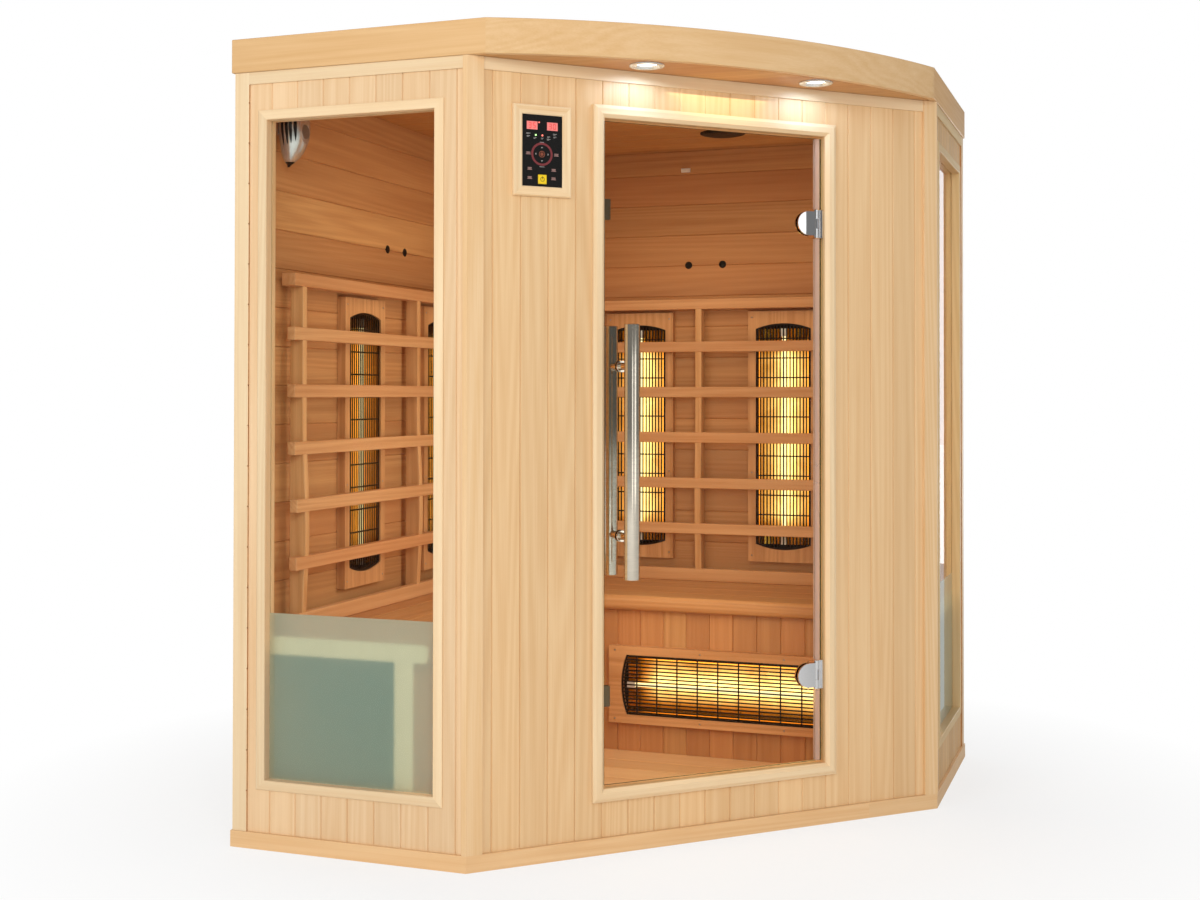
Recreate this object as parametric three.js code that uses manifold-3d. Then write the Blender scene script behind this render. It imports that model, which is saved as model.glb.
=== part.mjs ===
// Corner infrared sauna cabin with a diagonal glass-door front, for a room corner.
// Millimetres, +Z up. The origin is on the floor, at the centre of the square footprint.
// The back walls stand at -X and +Y, the side walls at -Y and +X, and the front faces +X -Y.
// Everything but the front's fittings is mirrored on the vertical plane through the front's middle.

import * as THREE from 'three';
import { mergeVertices } from 'three/addons/utils/BufferGeometryUtils.js';
import Module from 'manifold-3d';

const wasm = await Module();
wasm.setup();

// Carcass

const HEIGHT = 1900; // floor to top of roof
const WALL_SPAN = 1506; // outer face to outer face of the square
const SIDE_LENGTH = 601; // outer length of a side wall, back corner to front corner
const WALL = 38; // wall panel thickness
const SEAM = 0.3; // fitting gap between neighbouring pieces
const PLINTH_HEIGHT = 38;
const PLINTH_OUT = 7; // plinth beyond the side and front faces
const PLINTH_BACK = 4; // plinth beyond the back faces
const FLOOR_RISE = 7; // floor boards above the plinth
const POST_SIDE = 8; // corner post's narrow face, on the side wall
const POST_FRONT = 36; // corner post's wide face, on the front
const POST_PROUD = 8; // corner post in front of both walls
const STILE_PROUD = 4; // back walls' ends in front of the side walls
const BATTEN_HEIGHT = 28; // cover strip under the roof
const BATTEN = 4; // its thickness

// Board joints

const BOARD = 68.2; // cover width of the upright boards
const LINING_BOARD = 95; // cover width of the level lining boards
const GROOVE_WIDTH = 4;
const GROOVE_DEPTH = 2.5;

// Roof

const ROOF_HEIGHT = 80; // fascia height
const ROOF_SIDE = 656; // roof's side edge, back corner to front corner
const ROOF_OUT = 8; // roof edge beyond the wall faces
const ROOF_BOW = 115; // rise of the curved front edge over its chord
const FASCIA = 18; // fascia board thickness
const CEILING = 18; // ceiling panel thickness
const COVER = 10; // dust cover thickness
const COVER_DROP = 14; // roof edge above the dust cover
const COVER_LEDGE = 8; // width of the ledge under the dust cover
const BOX_WIDTH = 300; // power supply box
const BOX_DEPTH = 190;
const BOX_FROM_CENTRE = 260; // along both back directions
const BOX_HEADROOM = 4;
const GLAND_RADIUS = 12;
const GLAND_RISE = 10; // gland above the dust cover

// Side windows

const WINDOW_WIDTH = 435; // clear opening inside the moulding
const WINDOW_LOW = 161;
const WINDOW_TOP = 114; // soffit to the clear opening
const WINDOW_FROM_BACK = 85; // back corner to the nearer upright edge
const WINDOW_MOULDING = 23; // face width
const WINDOW_PROUD = 4; // moulding in front of the wall
const PANE = 5; // glass thickness
const PANE_SET = 19; // glass behind the wall face
const PANE_REBATE = 8; // glass behind the moulding, each side

// Door and its fittings

const DOOR_WIDTH = 608; // clear opening
const DOOR_LOW = 150;
const DOOR_TOP = 114; // soffit to the clear opening
const DOOR_MOULDING = 29;
const DOOR_PROUD = 12;
const DOOR_GAP = 6; // glass edge to opening
const DOOR_PANE = 8;
const DOOR_SET = 6; // glass behind the wall face
const HINGE_FROM_JAMB = 18; // hinge axis to the opening's edge
const HINGE_INSET = 218; // hinge centre to the opening's top, and likewise at the bottom
const HINGE_HEIGHT = 70;
const HINGE_LEAF = 4; // jamb plate thickness
const HINGE_LEAF_DEPTH = 30;
const HINGE_LEAF_SET = 3; // jamb plate behind the wall face
const KNUCKLE = 6.5; // knuckle radius
const KNUCKLE_HALF = 12; // half height of the middle knuckle
const PIN = 3; // pin radius
const PIN_PLAY = 0.08;
const KNUCKLE_PLAY = 0.4; // between knuckles, along the pin
const BELL_REACH = 50; // glass plate's length from its straight edge
const BELL_HALF = 30; // half height of the glass plate
const BELL_PLATE = 5;
const BELL_FROM_AXIS = 8;
const NOTCH_REACH = 24; // cut-out in the glass, from the hinge axis
const NOTCH_HALF = 36;
const HANDLE_LENGTH = 590;
const HANDLE_RADIUS = 18;
const HANDLE_LIFT = 2; // handle's middle above the opening's middle
const HANDLE_FROM_JAMB = 50; // bar axis to the opening's edge
const HANDLE_OFF = 55; // bar axis to the glass face
const HANDLE_SPAN = 396; // between the posts
const HANDLE_POST = 9; // post radius
const HANDLE_ROSE = 14; // rosette radius at the glass
const HANDLE_ROSE_THICK = 4;
const HANDLE_STUD = 6; // stud radius through the glass
const STUD_PLAY = 1;
const STRIKE_HEIGHT = 48;
const STRIKE_REACH = 14; // strike plate over the glass
const STRIKE = 1.5; // its sheet thickness
const STRIKE_INSET = 212; // strike centre to the opening's top, and likewise at the bottom

// Bench and backrests

const BENCH_DEPTH = 453; // wall to nosing
const SEAT_TOP = 492;
const SEAT = 42;
const SEAT_ROUND = 14; // radius of the nosing
const SEAT_BOARD = 112;
const BENCH_OVERHANG = 38;
const BENCH_FRONT = 18; // front boarding thickness
const BENCH_POST = 30; // square post behind the boarding's outer end
const BACK_GAP = 16; // backrest post to wall
const BACK_DEPTH = 36; // post depth at its ends
const LUMBAR = 9; // swell of the backrest
const LUMBAR_HEIGHT = 740; // middle of the swell
const LUMBAR_REACH = 260; // half height of the swell
const BACK_POST = 20; // post thickness
const BACK_END = 637; // slats' outer end, from the wall's middle
const BACK_LAP = 40; // slats beyond the outer post
const BACK_INNER = 640; // end in the corner
const BACK_MIDDLE = 30; // middle post, towards the corner
const SLAT_HEIGHT = 32;
const SLAT_DEPTH = 22;
const SLAT_PROUD = 2; // slat in front of the post
const SLAT_LOWEST = 652.5; // middle of the lowest slat
const SLAT_PITCH = 139.3;
const SLAT_COUNT = 5;
const TOP_RAIL_HEIGHT = 31;
const TOP_RAIL_CLEAR = 8.5; // top rail above the heaters
const BOTTOM_RAIL_HEIGHT = 38;

// Heaters

const HEATER_WIDTH = 218;
const HEATER_LENGTH = 761;
const HEATER_PROUD = 24; // frame in front of its wall
const HEATER_OPENING = 170; // clear width of the arched opening
const HEATER_END = 37; // frame board beyond the opening's ends
const HEATER_ARCH = 16; // rise of the arched ends
const HEATER_FROM_MIDDLE = 229; // wall heaters either side of the wall's middle
const HEATER_MIDDLE = 936; // height of the wall heaters' middle
const LEG_HEATER_X = 198; // leg heater's middle along the bench front
const LEG_HEATER_MIDDLE = 237;
const GRILLE = 3; // grille sheet thickness
const GRILLE_SET = 4; // grille behind the frame's face
const GRILLE_PITCH = 10.2; // long bars
const GRILLE_BAR = 3.8;
const GRILLE_EDGE = 4; // plain border
const GRILLE_CROSS = 5; // cross bars
const GRILLE_ROWS = 3; // rows of gaps between cross bars
const REFLECTOR_SIDE = 8; // reflector edge to the opening
const REFLECTOR_FLAT = 60; // width of its flat back
const REFLECTOR = 1.5; // sheet thickness
const EMITTER_RADIUS = 5.5;
const EMITTER_OFF = 11; // tube axis to wall
const EMITTER_CAP = 16; // end block, square
const EMITTER_CAP_LENGTH = 24;

// Control panel

const PANEL_WIDTH = 98; // black face
const PANEL_HEIGHT = 163;
const PANEL_ASIDE = 7; // from halfway between post and door moulding, towards the door
const PANEL_BELOW = 203; // soffit to the panel's middle
const PANEL = 7; // face thickness
const BEZEL = 22.5; // bezel board width
const BEZEL_PROUD = 10;
const DISPLAY_WIDTH = 27;
const DISPLAY_HEIGHT = 19;
const DISPLAY_ABOVE = 57; // display's middle above the face's middle
const DISPLAY_ASIDE = 25;
const DISPLAY_RECESS = 0.8;
const KEY = 21; // square key's side
const KEY_BELOW = 65;
const KEY_PLAY = 0.4;
const KEY_PROUD = 1.2;
const KEY_BODY = 5;
const KEY_EDGE = 0.8; // key's chamfer

// Small fittings

const SPEAKER_RADIUS = 65;
const SPEAKER_DROP = 10;
const SPEAKER_X = 113;
const SPEAKER_Y = 425;
const DOWNLIGHT_RADIUS = 41;
const DOWNLIGHT_CAN = 33;
const DOWNLIGHT_PLAY = 1; // hole round the can
const DOWNLIGHT_CAN_HEIGHT = 30;
const DOWNLIGHT_LIP = 3.5;
const DOWNLIGHT_ASIDE = 230; // either side of the front's middle
const DOWNLIGHT_OUT = 76; // in front of the front wall
const IONISER_RADIUS = 38;
const IONISER_LENGTH = 132;
const IONISER_OFF = 49; // axis to wall
const IONISER_FROM_SIDE = 80; // axis to the side wall
const IONISER_BELOW = 208; // soffit to the tip
const IONISER_LEAN = 16; // tip towards the wall
const IONISER_FACE = 31; // axis to the flat face towards the room
const IONISER_SLOTS = 8;
const SENSOR_WIDTH = 28;
const SENSOR_HEIGHT = 13;
const SENSOR_PROUD = 9;
const SENSOR_X = -84;
const SENSOR_BELOW = 59; // soffit to the sensor's middle

// Planes and corners that follow from the sizes

const HALF = WALL_SPAN / 2;
const INNER = HALF - WALL;
const FLOOR_TOP = PLINTH_HEIGHT + FLOOR_RISE;
const SOFFIT = HEIGHT - ROOF_HEIGHT;
const WALL_LOW = PLINTH_HEIGHT + SEAM;
const WALL_HIGH = SOFFIT - SEAM;
const CEILING_LOW = SOFFIT + SEAM;
const CEILING_HIGH = CEILING_LOW + CEILING;
const WINDOW_HIGH = SOFFIT - WINDOW_TOP;
const DOOR_HIGH = SOFFIT - DOOR_TOP;
const HANDLE_CENTRE = (DOOR_LOW + DOOR_HIGH) / 2 + HANDLE_LIFT;
const PANEL_CENTRE = SOFFIT - PANEL_BELOW;
const IONISER_TIP = SOFFIT - IONISER_BELOW;
const SENSOR_MIDDLE = SOFFIT - SENSOR_BELOW;
const TOP_RAIL_LOW = HEATER_MIDDLE + HEATER_LENGTH / 2 + TOP_RAIL_CLEAR;
const TOP_RAIL_MIDDLE = TOP_RAIL_LOW + TOP_RAIL_HEIGHT / 2;
const COVER_HIGH = HEIGHT - COVER_DROP;
const COVER_LOW = COVER_HIGH - COVER;
const FRONT_HALF = Math.SQRT2 * (HALF - SIDE_LENGTH / 2);
const CORNER_X = SIDE_LENGTH - HALF; // front corner between side wall and front
const MITRE = Math.SQRT2 - 1; // shift of a 135 degree corner for each unit of offset

// Finishes

const finish = (color, roughness, metalness = 0) => ({ color, roughness, metalness, flatShading: true });
const OUTER_WOOD = finish(0xe3bd8b, 0.55);
const TRIM_WOOD = finish(0xecd0a2, 0.5);
const FASCIA_WOOD = finish(0xdfb07a, 0.5);
const LINING_WOOD = finish(0xc08a55, 0.6);
const PLAIN_BOARD = finish(0xc9b48f, 0.75);
const CLEAR_GLASS = { ...finish(0xdfeae6, 0.05), transparent: true, opacity: 0.25 };
const STEEL = finish(0xc9cbcc, 0.25, 1);
const CHROME = finish(0xe2e4e6, 0.12, 1);
const GRILLE_BLACK = finish(0x17130f, 0.55, 0.6);
const REFLECTOR_GOLD = finish(0xe0a83c, 0.25, 1);
const BLACK_PLASTIC = finish(0x141313, 0.3);
const YELLOW_PLASTIC = finish(0xf0c81e, 0.4);
const WHITE_PLASTIC = finish(0xf1efe9, 0.4);
const SILVER_PLASTIC = finish(0xb9bab8, 0.3, 0.6);
const GREY_STEEL = finish(0x8e9092, 0.5, 0.7);

// Geometry helpers

// Welds equal corners and drops the empty triangles that a lathe leaves on its axis.
function welded(geometry) {
  const bare = new THREE.BufferGeometry();
  bare.setAttribute('position', geometry.getAttribute('position').clone());
  bare.setIndex(geometry.index);
  const merged = mergeVertices(bare);
  const corners = Array.from(merged.index.array);
  const kept = [];
  for (let i = 0; i < corners.length; i += 3) {
    const [a, b, c] = corners.slice(i, i + 3);
    if (a !== b && b !== c && c !== a) {
      kept.push(a, b, c);
    }
  }
  merged.setIndex(kept);
  return merged;
}

function solid(geometry) {
  const closed = welded(geometry);
  return new wasm.Manifold(new wasm.Mesh({
    numProp: 3,
    vertProperties: new Float32Array(closed.getAttribute('position').array),
    triVerts: new Uint32Array(closed.index.array),
  }));
}

function geometryOf(body) {
  const mesh = body.getMesh();
  const geometry = new THREE.BufferGeometry();
  geometry.setAttribute('position', new THREE.BufferAttribute(new Float32Array(mesh.vertProperties), 3));
  geometry.setIndex(Array.from(mesh.triVerts));
  return geometry;
}

function joined(...geometries) {
  return geometryOf(geometries.map(solid).reduce((whole, next) => whole.add(next)));
}

function cut(geometry, ...tools) {
  return geometryOf(tools.map(solid).reduce((rest, tool) => rest.subtract(tool), solid(geometry)));
}

function common(first, second) {
  return geometryOf(solid(first).intersect(solid(second)));
}

// The same piece beyond the plane through the front's middle: x and y change places and signs.
function mirrored(geometry) {
  const copy = welded(geometry);
  copy.applyMatrix4(new THREE.Matrix4().set(0, -1, 0, 0, -1, 0, 0, 0, 0, 0, 1, 0, 0, 0, 0, 1));
  const corners = copy.index.array;
  for (let i = 0; i < corners.length; i += 3) {
    [corners[i + 1], corners[i + 2]] = [corners[i + 2], corners[i + 1]];
  }
  return copy;
}

function block(x0, x1, y0, y1, z0, z1) {
  const geometry = new THREE.BoxGeometry(x1 - x0, y1 - y0, z1 - z0);
  return geometry.translate((x0 + x1) / 2, (y0 + y1) / 2, (z0 + z1) / 2);
}

const shapeOf = (points) => new THREE.Shape(points.map(([x, y]) => new THREE.Vector2(x, y)));

// An outline in plan, raised from z0 to z1.
function prism(points, z0, z1) {
  const geometry = new THREE.ExtrudeGeometry(shapeOf(points), { depth: z1 - z0, bevelEnabled: false });
  return geometry.translate(0, 0, z0);
}

// A section drawn in y and z, run from x0 to x1.
function alongX(points, x0, x1) {
  const geometry = new THREE.ExtrudeGeometry(shapeOf(points), { depth: x1 - x0, bevelEnabled: false });
  geometry.applyMatrix4(new THREE.Matrix4().set(0, 0, 1, x0, 1, 0, 0, 0, 0, 1, 0, 0, 0, 0, 0, 1));
  return geometry;
}

// A shape drawn in x and z, as thick as the way from y0 to y1.
function slab(shape, y0, y1, curveSegments = 6) {
  const geometry = new THREE.ExtrudeGeometry(shape, { depth: y1 - y0, bevelEnabled: false, curveSegments });
  geometry.applyMatrix4(new THREE.Matrix4().set(1, 0, 0, 0, 0, 0, -1, y1, 0, 1, 0, 0, 0, 0, 0, 1));
  return geometry;
}

// A profile of radius and height turned about a vertical axis.
function turned(profile, segments) {
  const points = profile.map(([radius, height]) => new THREE.Vector2(radius, height));
  return new THREE.LatheGeometry(points, segments).rotateX(Math.PI / 2);
}

// A round bar in the y direction.
function barAlongY(radius, y0, y1, x, z, segments = 16) {
  return new THREE.CylinderGeometry(radius, radius, y1 - y0, segments).translate(x, (y0 + y1) / 2, z);
}

function uprightBar(radius, z0, z1, x, y, segments = 16) {
  const geometry = new THREE.CylinderGeometry(radius, radius, z1 - z0, segments).rotateX(Math.PI / 2);
  return geometry.translate(x, y, (z0 + z1) / 2);
}

// A mitred frame: a closed profile of (out, y) carried round a rectangle in x and z.
// Out is measured from the rectangle's edge, away from its middle.
function mitredFrame(profile, x0, x1, z0, z1) {
  const corners = [[x0, z0, -1, -1], [x1, z0, 1, -1], [x1, z1, 1, 1], [x0, z1, -1, 1]];
  const positions = [];
  for (const [x, z, sx, sz] of corners) {
    for (const [out, y] of profile) {
      positions.push(x + sx * out, y, z + sz * out);
    }
  }
  const count = profile.length;
  const index = [];
  for (let side = 0; side < 4; side += 1) {
    const here = side * count;
    const next = ((side + 1) % 4) * count;
    for (let i = 0; i < count; i += 1) {
      const j = (i + 1) % count;
      index.push(here + i, next + j, next + i, here + i, here + j, next + j);
    }
  }
  const geometry = new THREE.BufferGeometry();
  geometry.setAttribute('position', new THREE.Float32BufferAttribute(positions, 3));
  geometry.setIndex(index);
  return geometry;
}

// Middles of the joints between boards of one width, spread both ways from a joint at start.
function joints(low, high, start, pitch) {
  const first = Math.ceil((low + GROOVE_WIDTH - start) / pitch);
  const last = Math.floor((high - GROOVE_WIDTH - start) / pitch);
  const middles = [];
  for (let k = first; k <= last; k += 1) {
    middles.push(start + k * pitch);
  }
  return middles;
}

// A rectangle from (u0, v0) to (u1, v1) with V grooves in its v0 edge.
function groovedSection(u0, u1, v0, v1, middles) {
  const inward = Math.sign(v1 - v0) * GROOVE_DEPTH;
  const points = [[u0, v0]];
  for (const middle of middles) {
    points.push([middle - GROOVE_WIDTH / 2, v0], [middle, v0 + inward], [middle + GROOVE_WIDTH / 2, v0]);
  }
  points.push([u1, v0], [u1, v1], [u0, v1]);
  return points;
}

// The footprint with its faces moved out from the wall faces, or in where out is negative.
function footprint(out, outBack = out) {
  const half = HALF + out;
  const back = HALF + outBack;
  const corner = CORNER_X + out * MITRE;
  return [[-back, -half], [corner, -half], [half, -corner], [half, back], [-back, back]];
}

// The assembly: one group for the cabin, and inside it the front's own group,
// where x runs along the front, y runs inwards from the wall face and z stays up.

const cabin = new THREE.Group();
const front = new THREE.Group();
front.position.set(SIDE_LENGTH / 2, -SIDE_LENGTH / 2, 0);
front.rotation.z = Math.PI / 4;
cabin.add(front);

function add(name, geometry, look, parent = cabin) {
  const shown = welded(geometry);
  shown.computeVertexNormals();
  const mesh = new THREE.Mesh(shown, new THREE.MeshStandardMaterial(look));
  mesh.name = name;
  parent.add(mesh);
  return mesh;
}

function addPair(name, geometry, look) {
  add(`${name}_right`, mirrored(geometry), look);
  add(`${name}_left`, geometry, look);
}

// Floor: a plinth under the walls and raised boards inside them

function floorBase() {
  const boards = joints(-INNER, INNER, 0, LINING_BOARD);
  const inside = alongX(groovedSection(-INNER, INNER, FLOOR_TOP, 0, boards), -INNER, INNER);
  const raised = common(prism(footprint(-WALL - SEAM), PLINTH_HEIGHT / 2, FLOOR_TOP), inside);
  return joined(prism(footprint(PLINTH_OUT, PLINTH_BACK), 0, PLINTH_HEIGHT), raised);
}

add('floor_base', floorBase(), OUTER_WOOD);

// Back walls: level lining boards inside. The right wall runs past the left one in the back corner,
// and the other ends stand out a little as stiles beside the side walls.

function backWall(x0) {
  const boards = joints(WALL_LOW, WALL_HIGH, WALL_LOW, LINING_BOARD);
  const section = groovedSection(WALL_LOW, WALL_HIGH, INNER, HALF, boards).map(([z, y]) => [y, z]);
  return alongX(section, x0, HALF + STILE_PROUD);
}

add('back_wall_right', backWall(-HALF), LINING_WOOD);
add('back_wall_left', mirrored(backWall(SEAM - INNER)), LINING_WOOD);

// Side walls: upright boards outside, with a rebated window opening

const WINDOW_X0 = WINDOW_FROM_BACK - HALF;
const WINDOW_X1 = WINDOW_X0 + WINDOW_WIDTH;
const SIDE_Y = -HALF; // outer face of the left side wall

function sideWall() {
  const low = SEAM - INNER;
  const high = CORNER_X - POST_SIDE - SEAM;
  const boards = joints(low, high, (WINDOW_X0 + WINDOW_X1) / 2, BOARD);
  const panel = prism(groovedSection(low, high, SIDE_Y, SIDE_Y + WALL, boards), WALL_LOW, WALL_HIGH);
  const clear = block(WINDOW_X0, WINDOW_X1, SIDE_Y - WALL, SIDE_Y + 2 * WALL, WINDOW_LOW, WINDOW_HIGH);
  const rebate = block(
    WINDOW_X0 - PANE_REBATE, WINDOW_X1 + PANE_REBATE,
    SIDE_Y - WALL, SIDE_Y + PANE_SET + PANE + SEAM,
    WINDOW_LOW - PANE_REBATE, WINDOW_HIGH + PANE_REBATE,
  );
  return cut(panel, clear, rebate);
}

addPair('side_wall', sideWall(), OUTER_WOOD);

function windowPane() {
  const lap = PANE_REBATE - SEAM;
  return block(
    WINDOW_X0 - lap, WINDOW_X1 + lap,
    SIDE_Y + PANE_SET, SIDE_Y + PANE_SET + PANE,
    WINDOW_LOW - lap, WINDOW_HIGH + lap,
  );
}

addPair('window_glass', windowPane(), CLEAR_GLASS);

// The moulding's face lies on the wall, and its tongue holds the glass in the rebate.
function windowMoulding() {
  const round = WINDOW_PROUD / 3;
  const profile = [
    [0, SIDE_Y + PANE_SET - SEAM],
    [0, SIDE_Y - WINDOW_PROUD + round],
    [round, SIDE_Y - WINDOW_PROUD],
    [WINDOW_MOULDING - 2 * round, SIDE_Y - WINDOW_PROUD],
    [WINDOW_MOULDING, SIDE_Y - WINDOW_PROUD + round],
    [WINDOW_MOULDING, SIDE_Y - SEAM],
    [PANE_REBATE - SEAM, SIDE_Y - SEAM],
    [PANE_REBATE - SEAM, SIDE_Y + PANE_SET - SEAM],
  ];
  return mitredFrame(profile, WINDOW_X0, WINDOW_X1, WINDOW_LOW, WINDOW_HIGH);
}

addPair('window_moulding', windowMoulding(), TRIM_WOOD);

// Corner posts between the side walls and the front

function cornerPost() {
  const along = Math.SQRT1_2;
  const [x, y] = [CORNER_X + POST_FRONT * along, SIDE_Y + POST_FRONT * along];
  const points = [
    [CORNER_X - POST_SIDE, SIDE_Y - POST_PROUD],
    [CORNER_X + POST_PROUD * MITRE, SIDE_Y - POST_PROUD],
    [x + POST_PROUD * along, y - POST_PROUD * along],
    [x - WALL * along, y + WALL * along],
    [CORNER_X - POST_SIDE, SIDE_Y + WALL],
  ];
  return prism(points, WALL_LOW, WALL_HIGH);
}

addPair('corner_post', cornerPost(), TRIM_WOOD);

// Front wall: upright boards with the doorway

const DOOR_HALF = DOOR_WIDTH / 2;

function frontWall() {
  const half = FRONT_HALF - POST_FRONT - SEAM;
  const boards = joints(-half, half, BOARD / 2, BOARD);
  const panel = prism(groovedSection(-half, half, 0, WALL, boards), WALL_LOW, WALL_HIGH);
  return cut(panel, block(-DOOR_HALF, DOOR_HALF, -WALL, 2 * WALL, DOOR_LOW, DOOR_HIGH));
}

add('front_wall', frontWall(), OUTER_WOOD, front);

function doorMoulding() {
  const round = DOOR_PROUD / 3;
  const profile = [
    [0, -SEAM],
    [0, -DOOR_PROUD + 2 * round],
    [2 * round, -DOOR_PROUD],
    [DOOR_MOULDING - 2 * round, -DOOR_PROUD],
    [DOOR_MOULDING, -DOOR_PROUD + round],
    [DOOR_MOULDING, -SEAM],
  ];
  return mitredFrame(profile, -DOOR_HALF, DOOR_HALF, DOOR_LOW, DOOR_HIGH);
}

add('door_moulding', doorMoulding(), TRIM_WOOD, front);

// Cover strips under the roof, between the posts and the back walls' ends

const BATTEN_HIGH = SOFFIT - SEAM;
const BATTEN_LOW = BATTEN_HIGH - BATTEN_HEIGHT;

function sideBatten() {
  const from = SEAM - INNER;
  const to = CORNER_X - POST_SIDE - SEAM;
  return block(from, to, SIDE_Y - SEAM - BATTEN, SIDE_Y - SEAM, BATTEN_LOW, BATTEN_HIGH);
}

function frontBatten() {
  const half = FRONT_HALF - POST_FRONT - SEAM;
  return block(-half, half, -SEAM - BATTEN, -SEAM, BATTEN_LOW, BATTEN_HIGH);
}

addPair('top_batten', sideBatten(), TRIM_WOOD);
add('top_batten_front', frontBatten(), TRIM_WOOD, front);

// Roof: an outline with straight back and side edges and a bowed front edge.
// Across is measured along the front, and ahead is measured from the centre towards the front.

const planPoint = (ahead, across) => [(across + ahead) * Math.SQRT1_2, (across - ahead) * Math.SQRT1_2];

function roofOutline(inset) {
  const edge = HALF + ROOF_OUT;
  const chordAhead = ROOF_SIDE * Math.SQRT1_2;
  const chordHalf = Math.SQRT2 * (edge - ROOF_SIDE / 2);
  const bowRadius = (chordHalf ** 2 + ROOF_BOW ** 2) / (2 * ROOF_BOW);
  const centre = chordAhead + ROOF_BOW - bowRadius;
  const radius = bowRadius - inset;
  const half = edge - inset;
  // The bow meets the side edge where across is ahead less the side's distance times root two.
  const shift = Math.SQRT2 * half;
  const sum = centre + shift;
  const ahead = (sum + Math.sqrt(sum ** 2 - 2 * (centre ** 2 + shift ** 2 - radius ** 2))) / 2;
  const reach = Math.asin((shift - ahead) / radius);
  const steps = 18;
  const points = [[half, half], [-half, half], [-half, -half]];
  for (let i = 0; i <= steps; i += 1) {
    const angle = reach * (2 * i / steps - 1);
    points.push(planPoint(centre + radius * Math.cos(angle), radius * Math.sin(angle)));
  }
  return points;
}

function roofFascia() {
  const ring = cut(
    prism(roofOutline(0), CEILING_LOW, HEIGHT),
    prism(roofOutline(FASCIA), CEILING_LOW - FASCIA, HEIGHT + FASCIA),
  );
  return cut(ring, prism(roofOutline(FASCIA - COVER_LEDGE), COVER_LOW, HEIGHT + FASCIA));
}

add('roof_fascia', roofFascia(), FASCIA_WOOD);

const frontToPlan = (across, out) => planPoint(SIDE_LENGTH * Math.SQRT1_2 + out, across);
const DOWNLIGHT_PLACES = [['left', -DOWNLIGHT_ASIDE], ['right', DOWNLIGHT_ASIDE]];

function ceilingPanel() {
  const panel = prism(roofOutline(FASCIA + SEAM), CEILING_LOW, CEILING_HIGH);
  const holes = DOWNLIGHT_PLACES.map(([, across]) => {
    const [x, y] = frontToPlan(across, DOWNLIGHT_OUT);
    return uprightBar(DOWNLIGHT_CAN + DOWNLIGHT_PLAY, SOFFIT - CEILING, CEILING_HIGH + CEILING, x, y, 20);
  });
  const grooves = joints(-INNER, INNER, 0, LINING_BOARD).map((y) => {
    const half = GROOVE_WIDTH / 2;
    const groove = [[y - half, SOFFIT], [y + half, SOFFIT], [y, SOFFIT + GROOVE_DEPTH]];
    return common(alongX(groove, -INNER, INNER), prism(footprint(-WALL), SOFFIT - CEILING, CEILING_HIGH));
  });
  return cut(panel, ...holes, ...grooves);
}

add('ceiling_panel', ceilingPanel(), LINING_WOOD);

const BOX_HIGH = COVER_LOW - BOX_HEADROOM;
const BOX_LOW = CEILING_HIGH + SEAM;

// The mains cable enters through a gland that stands on the box and passes the dust cover.
function powerSupplyBox() {
  const x = -BOX_FROM_CENTRE;
  const y = BOX_FROM_CENTRE;
  const w = BOX_WIDTH / 2;
  const d = BOX_DEPTH / 2;
  const housing = block(x - w, x + w, y - d, y + d, BOX_LOW, BOX_HIGH);
  const gland = uprightBar(GLAND_RADIUS, BOX_HIGH - SEAM, COVER_HIGH + GLAND_RISE, x, y, 12);
  const bore = uprightBar(GLAND_RADIUS / 2, COVER_LOW, COVER_HIGH + 2 * GLAND_RISE, x, y, 12);
  return cut(joined(housing, gland), bore);
}

function dustCover() {
  const plate = prism(roofOutline(FASCIA - COVER_LEDGE + SEAM), COVER_LOW + SEAM, COVER_HIGH);
  const from = COVER_LOW - COVER;
  const hole = uprightBar(GLAND_RADIUS + SEAM, from, HEIGHT, -BOX_FROM_CENTRE, BOX_FROM_CENTRE, 12);
  return cut(plate, hole);
}

add('power_supply_box', powerSupplyBox(), GREY_STEEL);
add('roof_dust_cover', dustCover(), PLAIN_BOARD);

// Downlights in the overhang, and speakers under the ceiling inside

function downlight() {
  const lens = DOWNLIGHT_CAN * 0.8;
  return turned([
    [0, DOWNLIGHT_LIP],
    [lens, DOWNLIGHT_LIP],
    [lens + DOWNLIGHT_LIP, -DOWNLIGHT_LIP],
    [DOWNLIGHT_RADIUS - DOWNLIGHT_LIP / 2, -DOWNLIGHT_LIP],
    [DOWNLIGHT_RADIUS, -DOWNLIGHT_LIP / 2],
    [DOWNLIGHT_RADIUS, -SEAM],
    [DOWNLIGHT_CAN, -SEAM],
    [DOWNLIGHT_CAN, DOWNLIGHT_CAN_HEIGHT],
    [0, DOWNLIGHT_CAN_HEIGHT],
  ], 20);
}

for (const [side, across] of DOWNLIGHT_PLACES) {
  const lamp = add(`downlight_${side}`, downlight(), SILVER_PLASTIC, front);
  lamp.position.set(across, -DOWNLIGHT_OUT, CEILING_LOW);
}

function speaker() {
  const dome = turned([
    [0, -SPEAKER_DROP],
    [SPEAKER_RADIUS * 0.55, -SPEAKER_DROP * 0.9],
    [SPEAKER_RADIUS * 0.85, -SPEAKER_DROP * 0.6],
    [SPEAKER_RADIUS * 0.88, -SPEAKER_DROP * 0.4],
    [SPEAKER_RADIUS, -SPEAKER_DROP * 0.35],
    [SPEAKER_RADIUS, -SEAM],
    [0, -SEAM],
  ], 20);
  return dome.translate(SPEAKER_X, SPEAKER_Y, CEILING_LOW);
}

add('speaker_right', speaker(), BLACK_PLASTIC);
add('speaker_left', mirrored(speaker()), BLACK_PLASTIC);

// Benches: the right one runs into the back corner, the left one butts against it

const NOSING = INNER - BENCH_DEPTH;
const BENCH_FACE = NOSING + BENCH_OVERHANG;
const SEAT_LOW = SEAT_TOP - SEAT;

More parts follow.
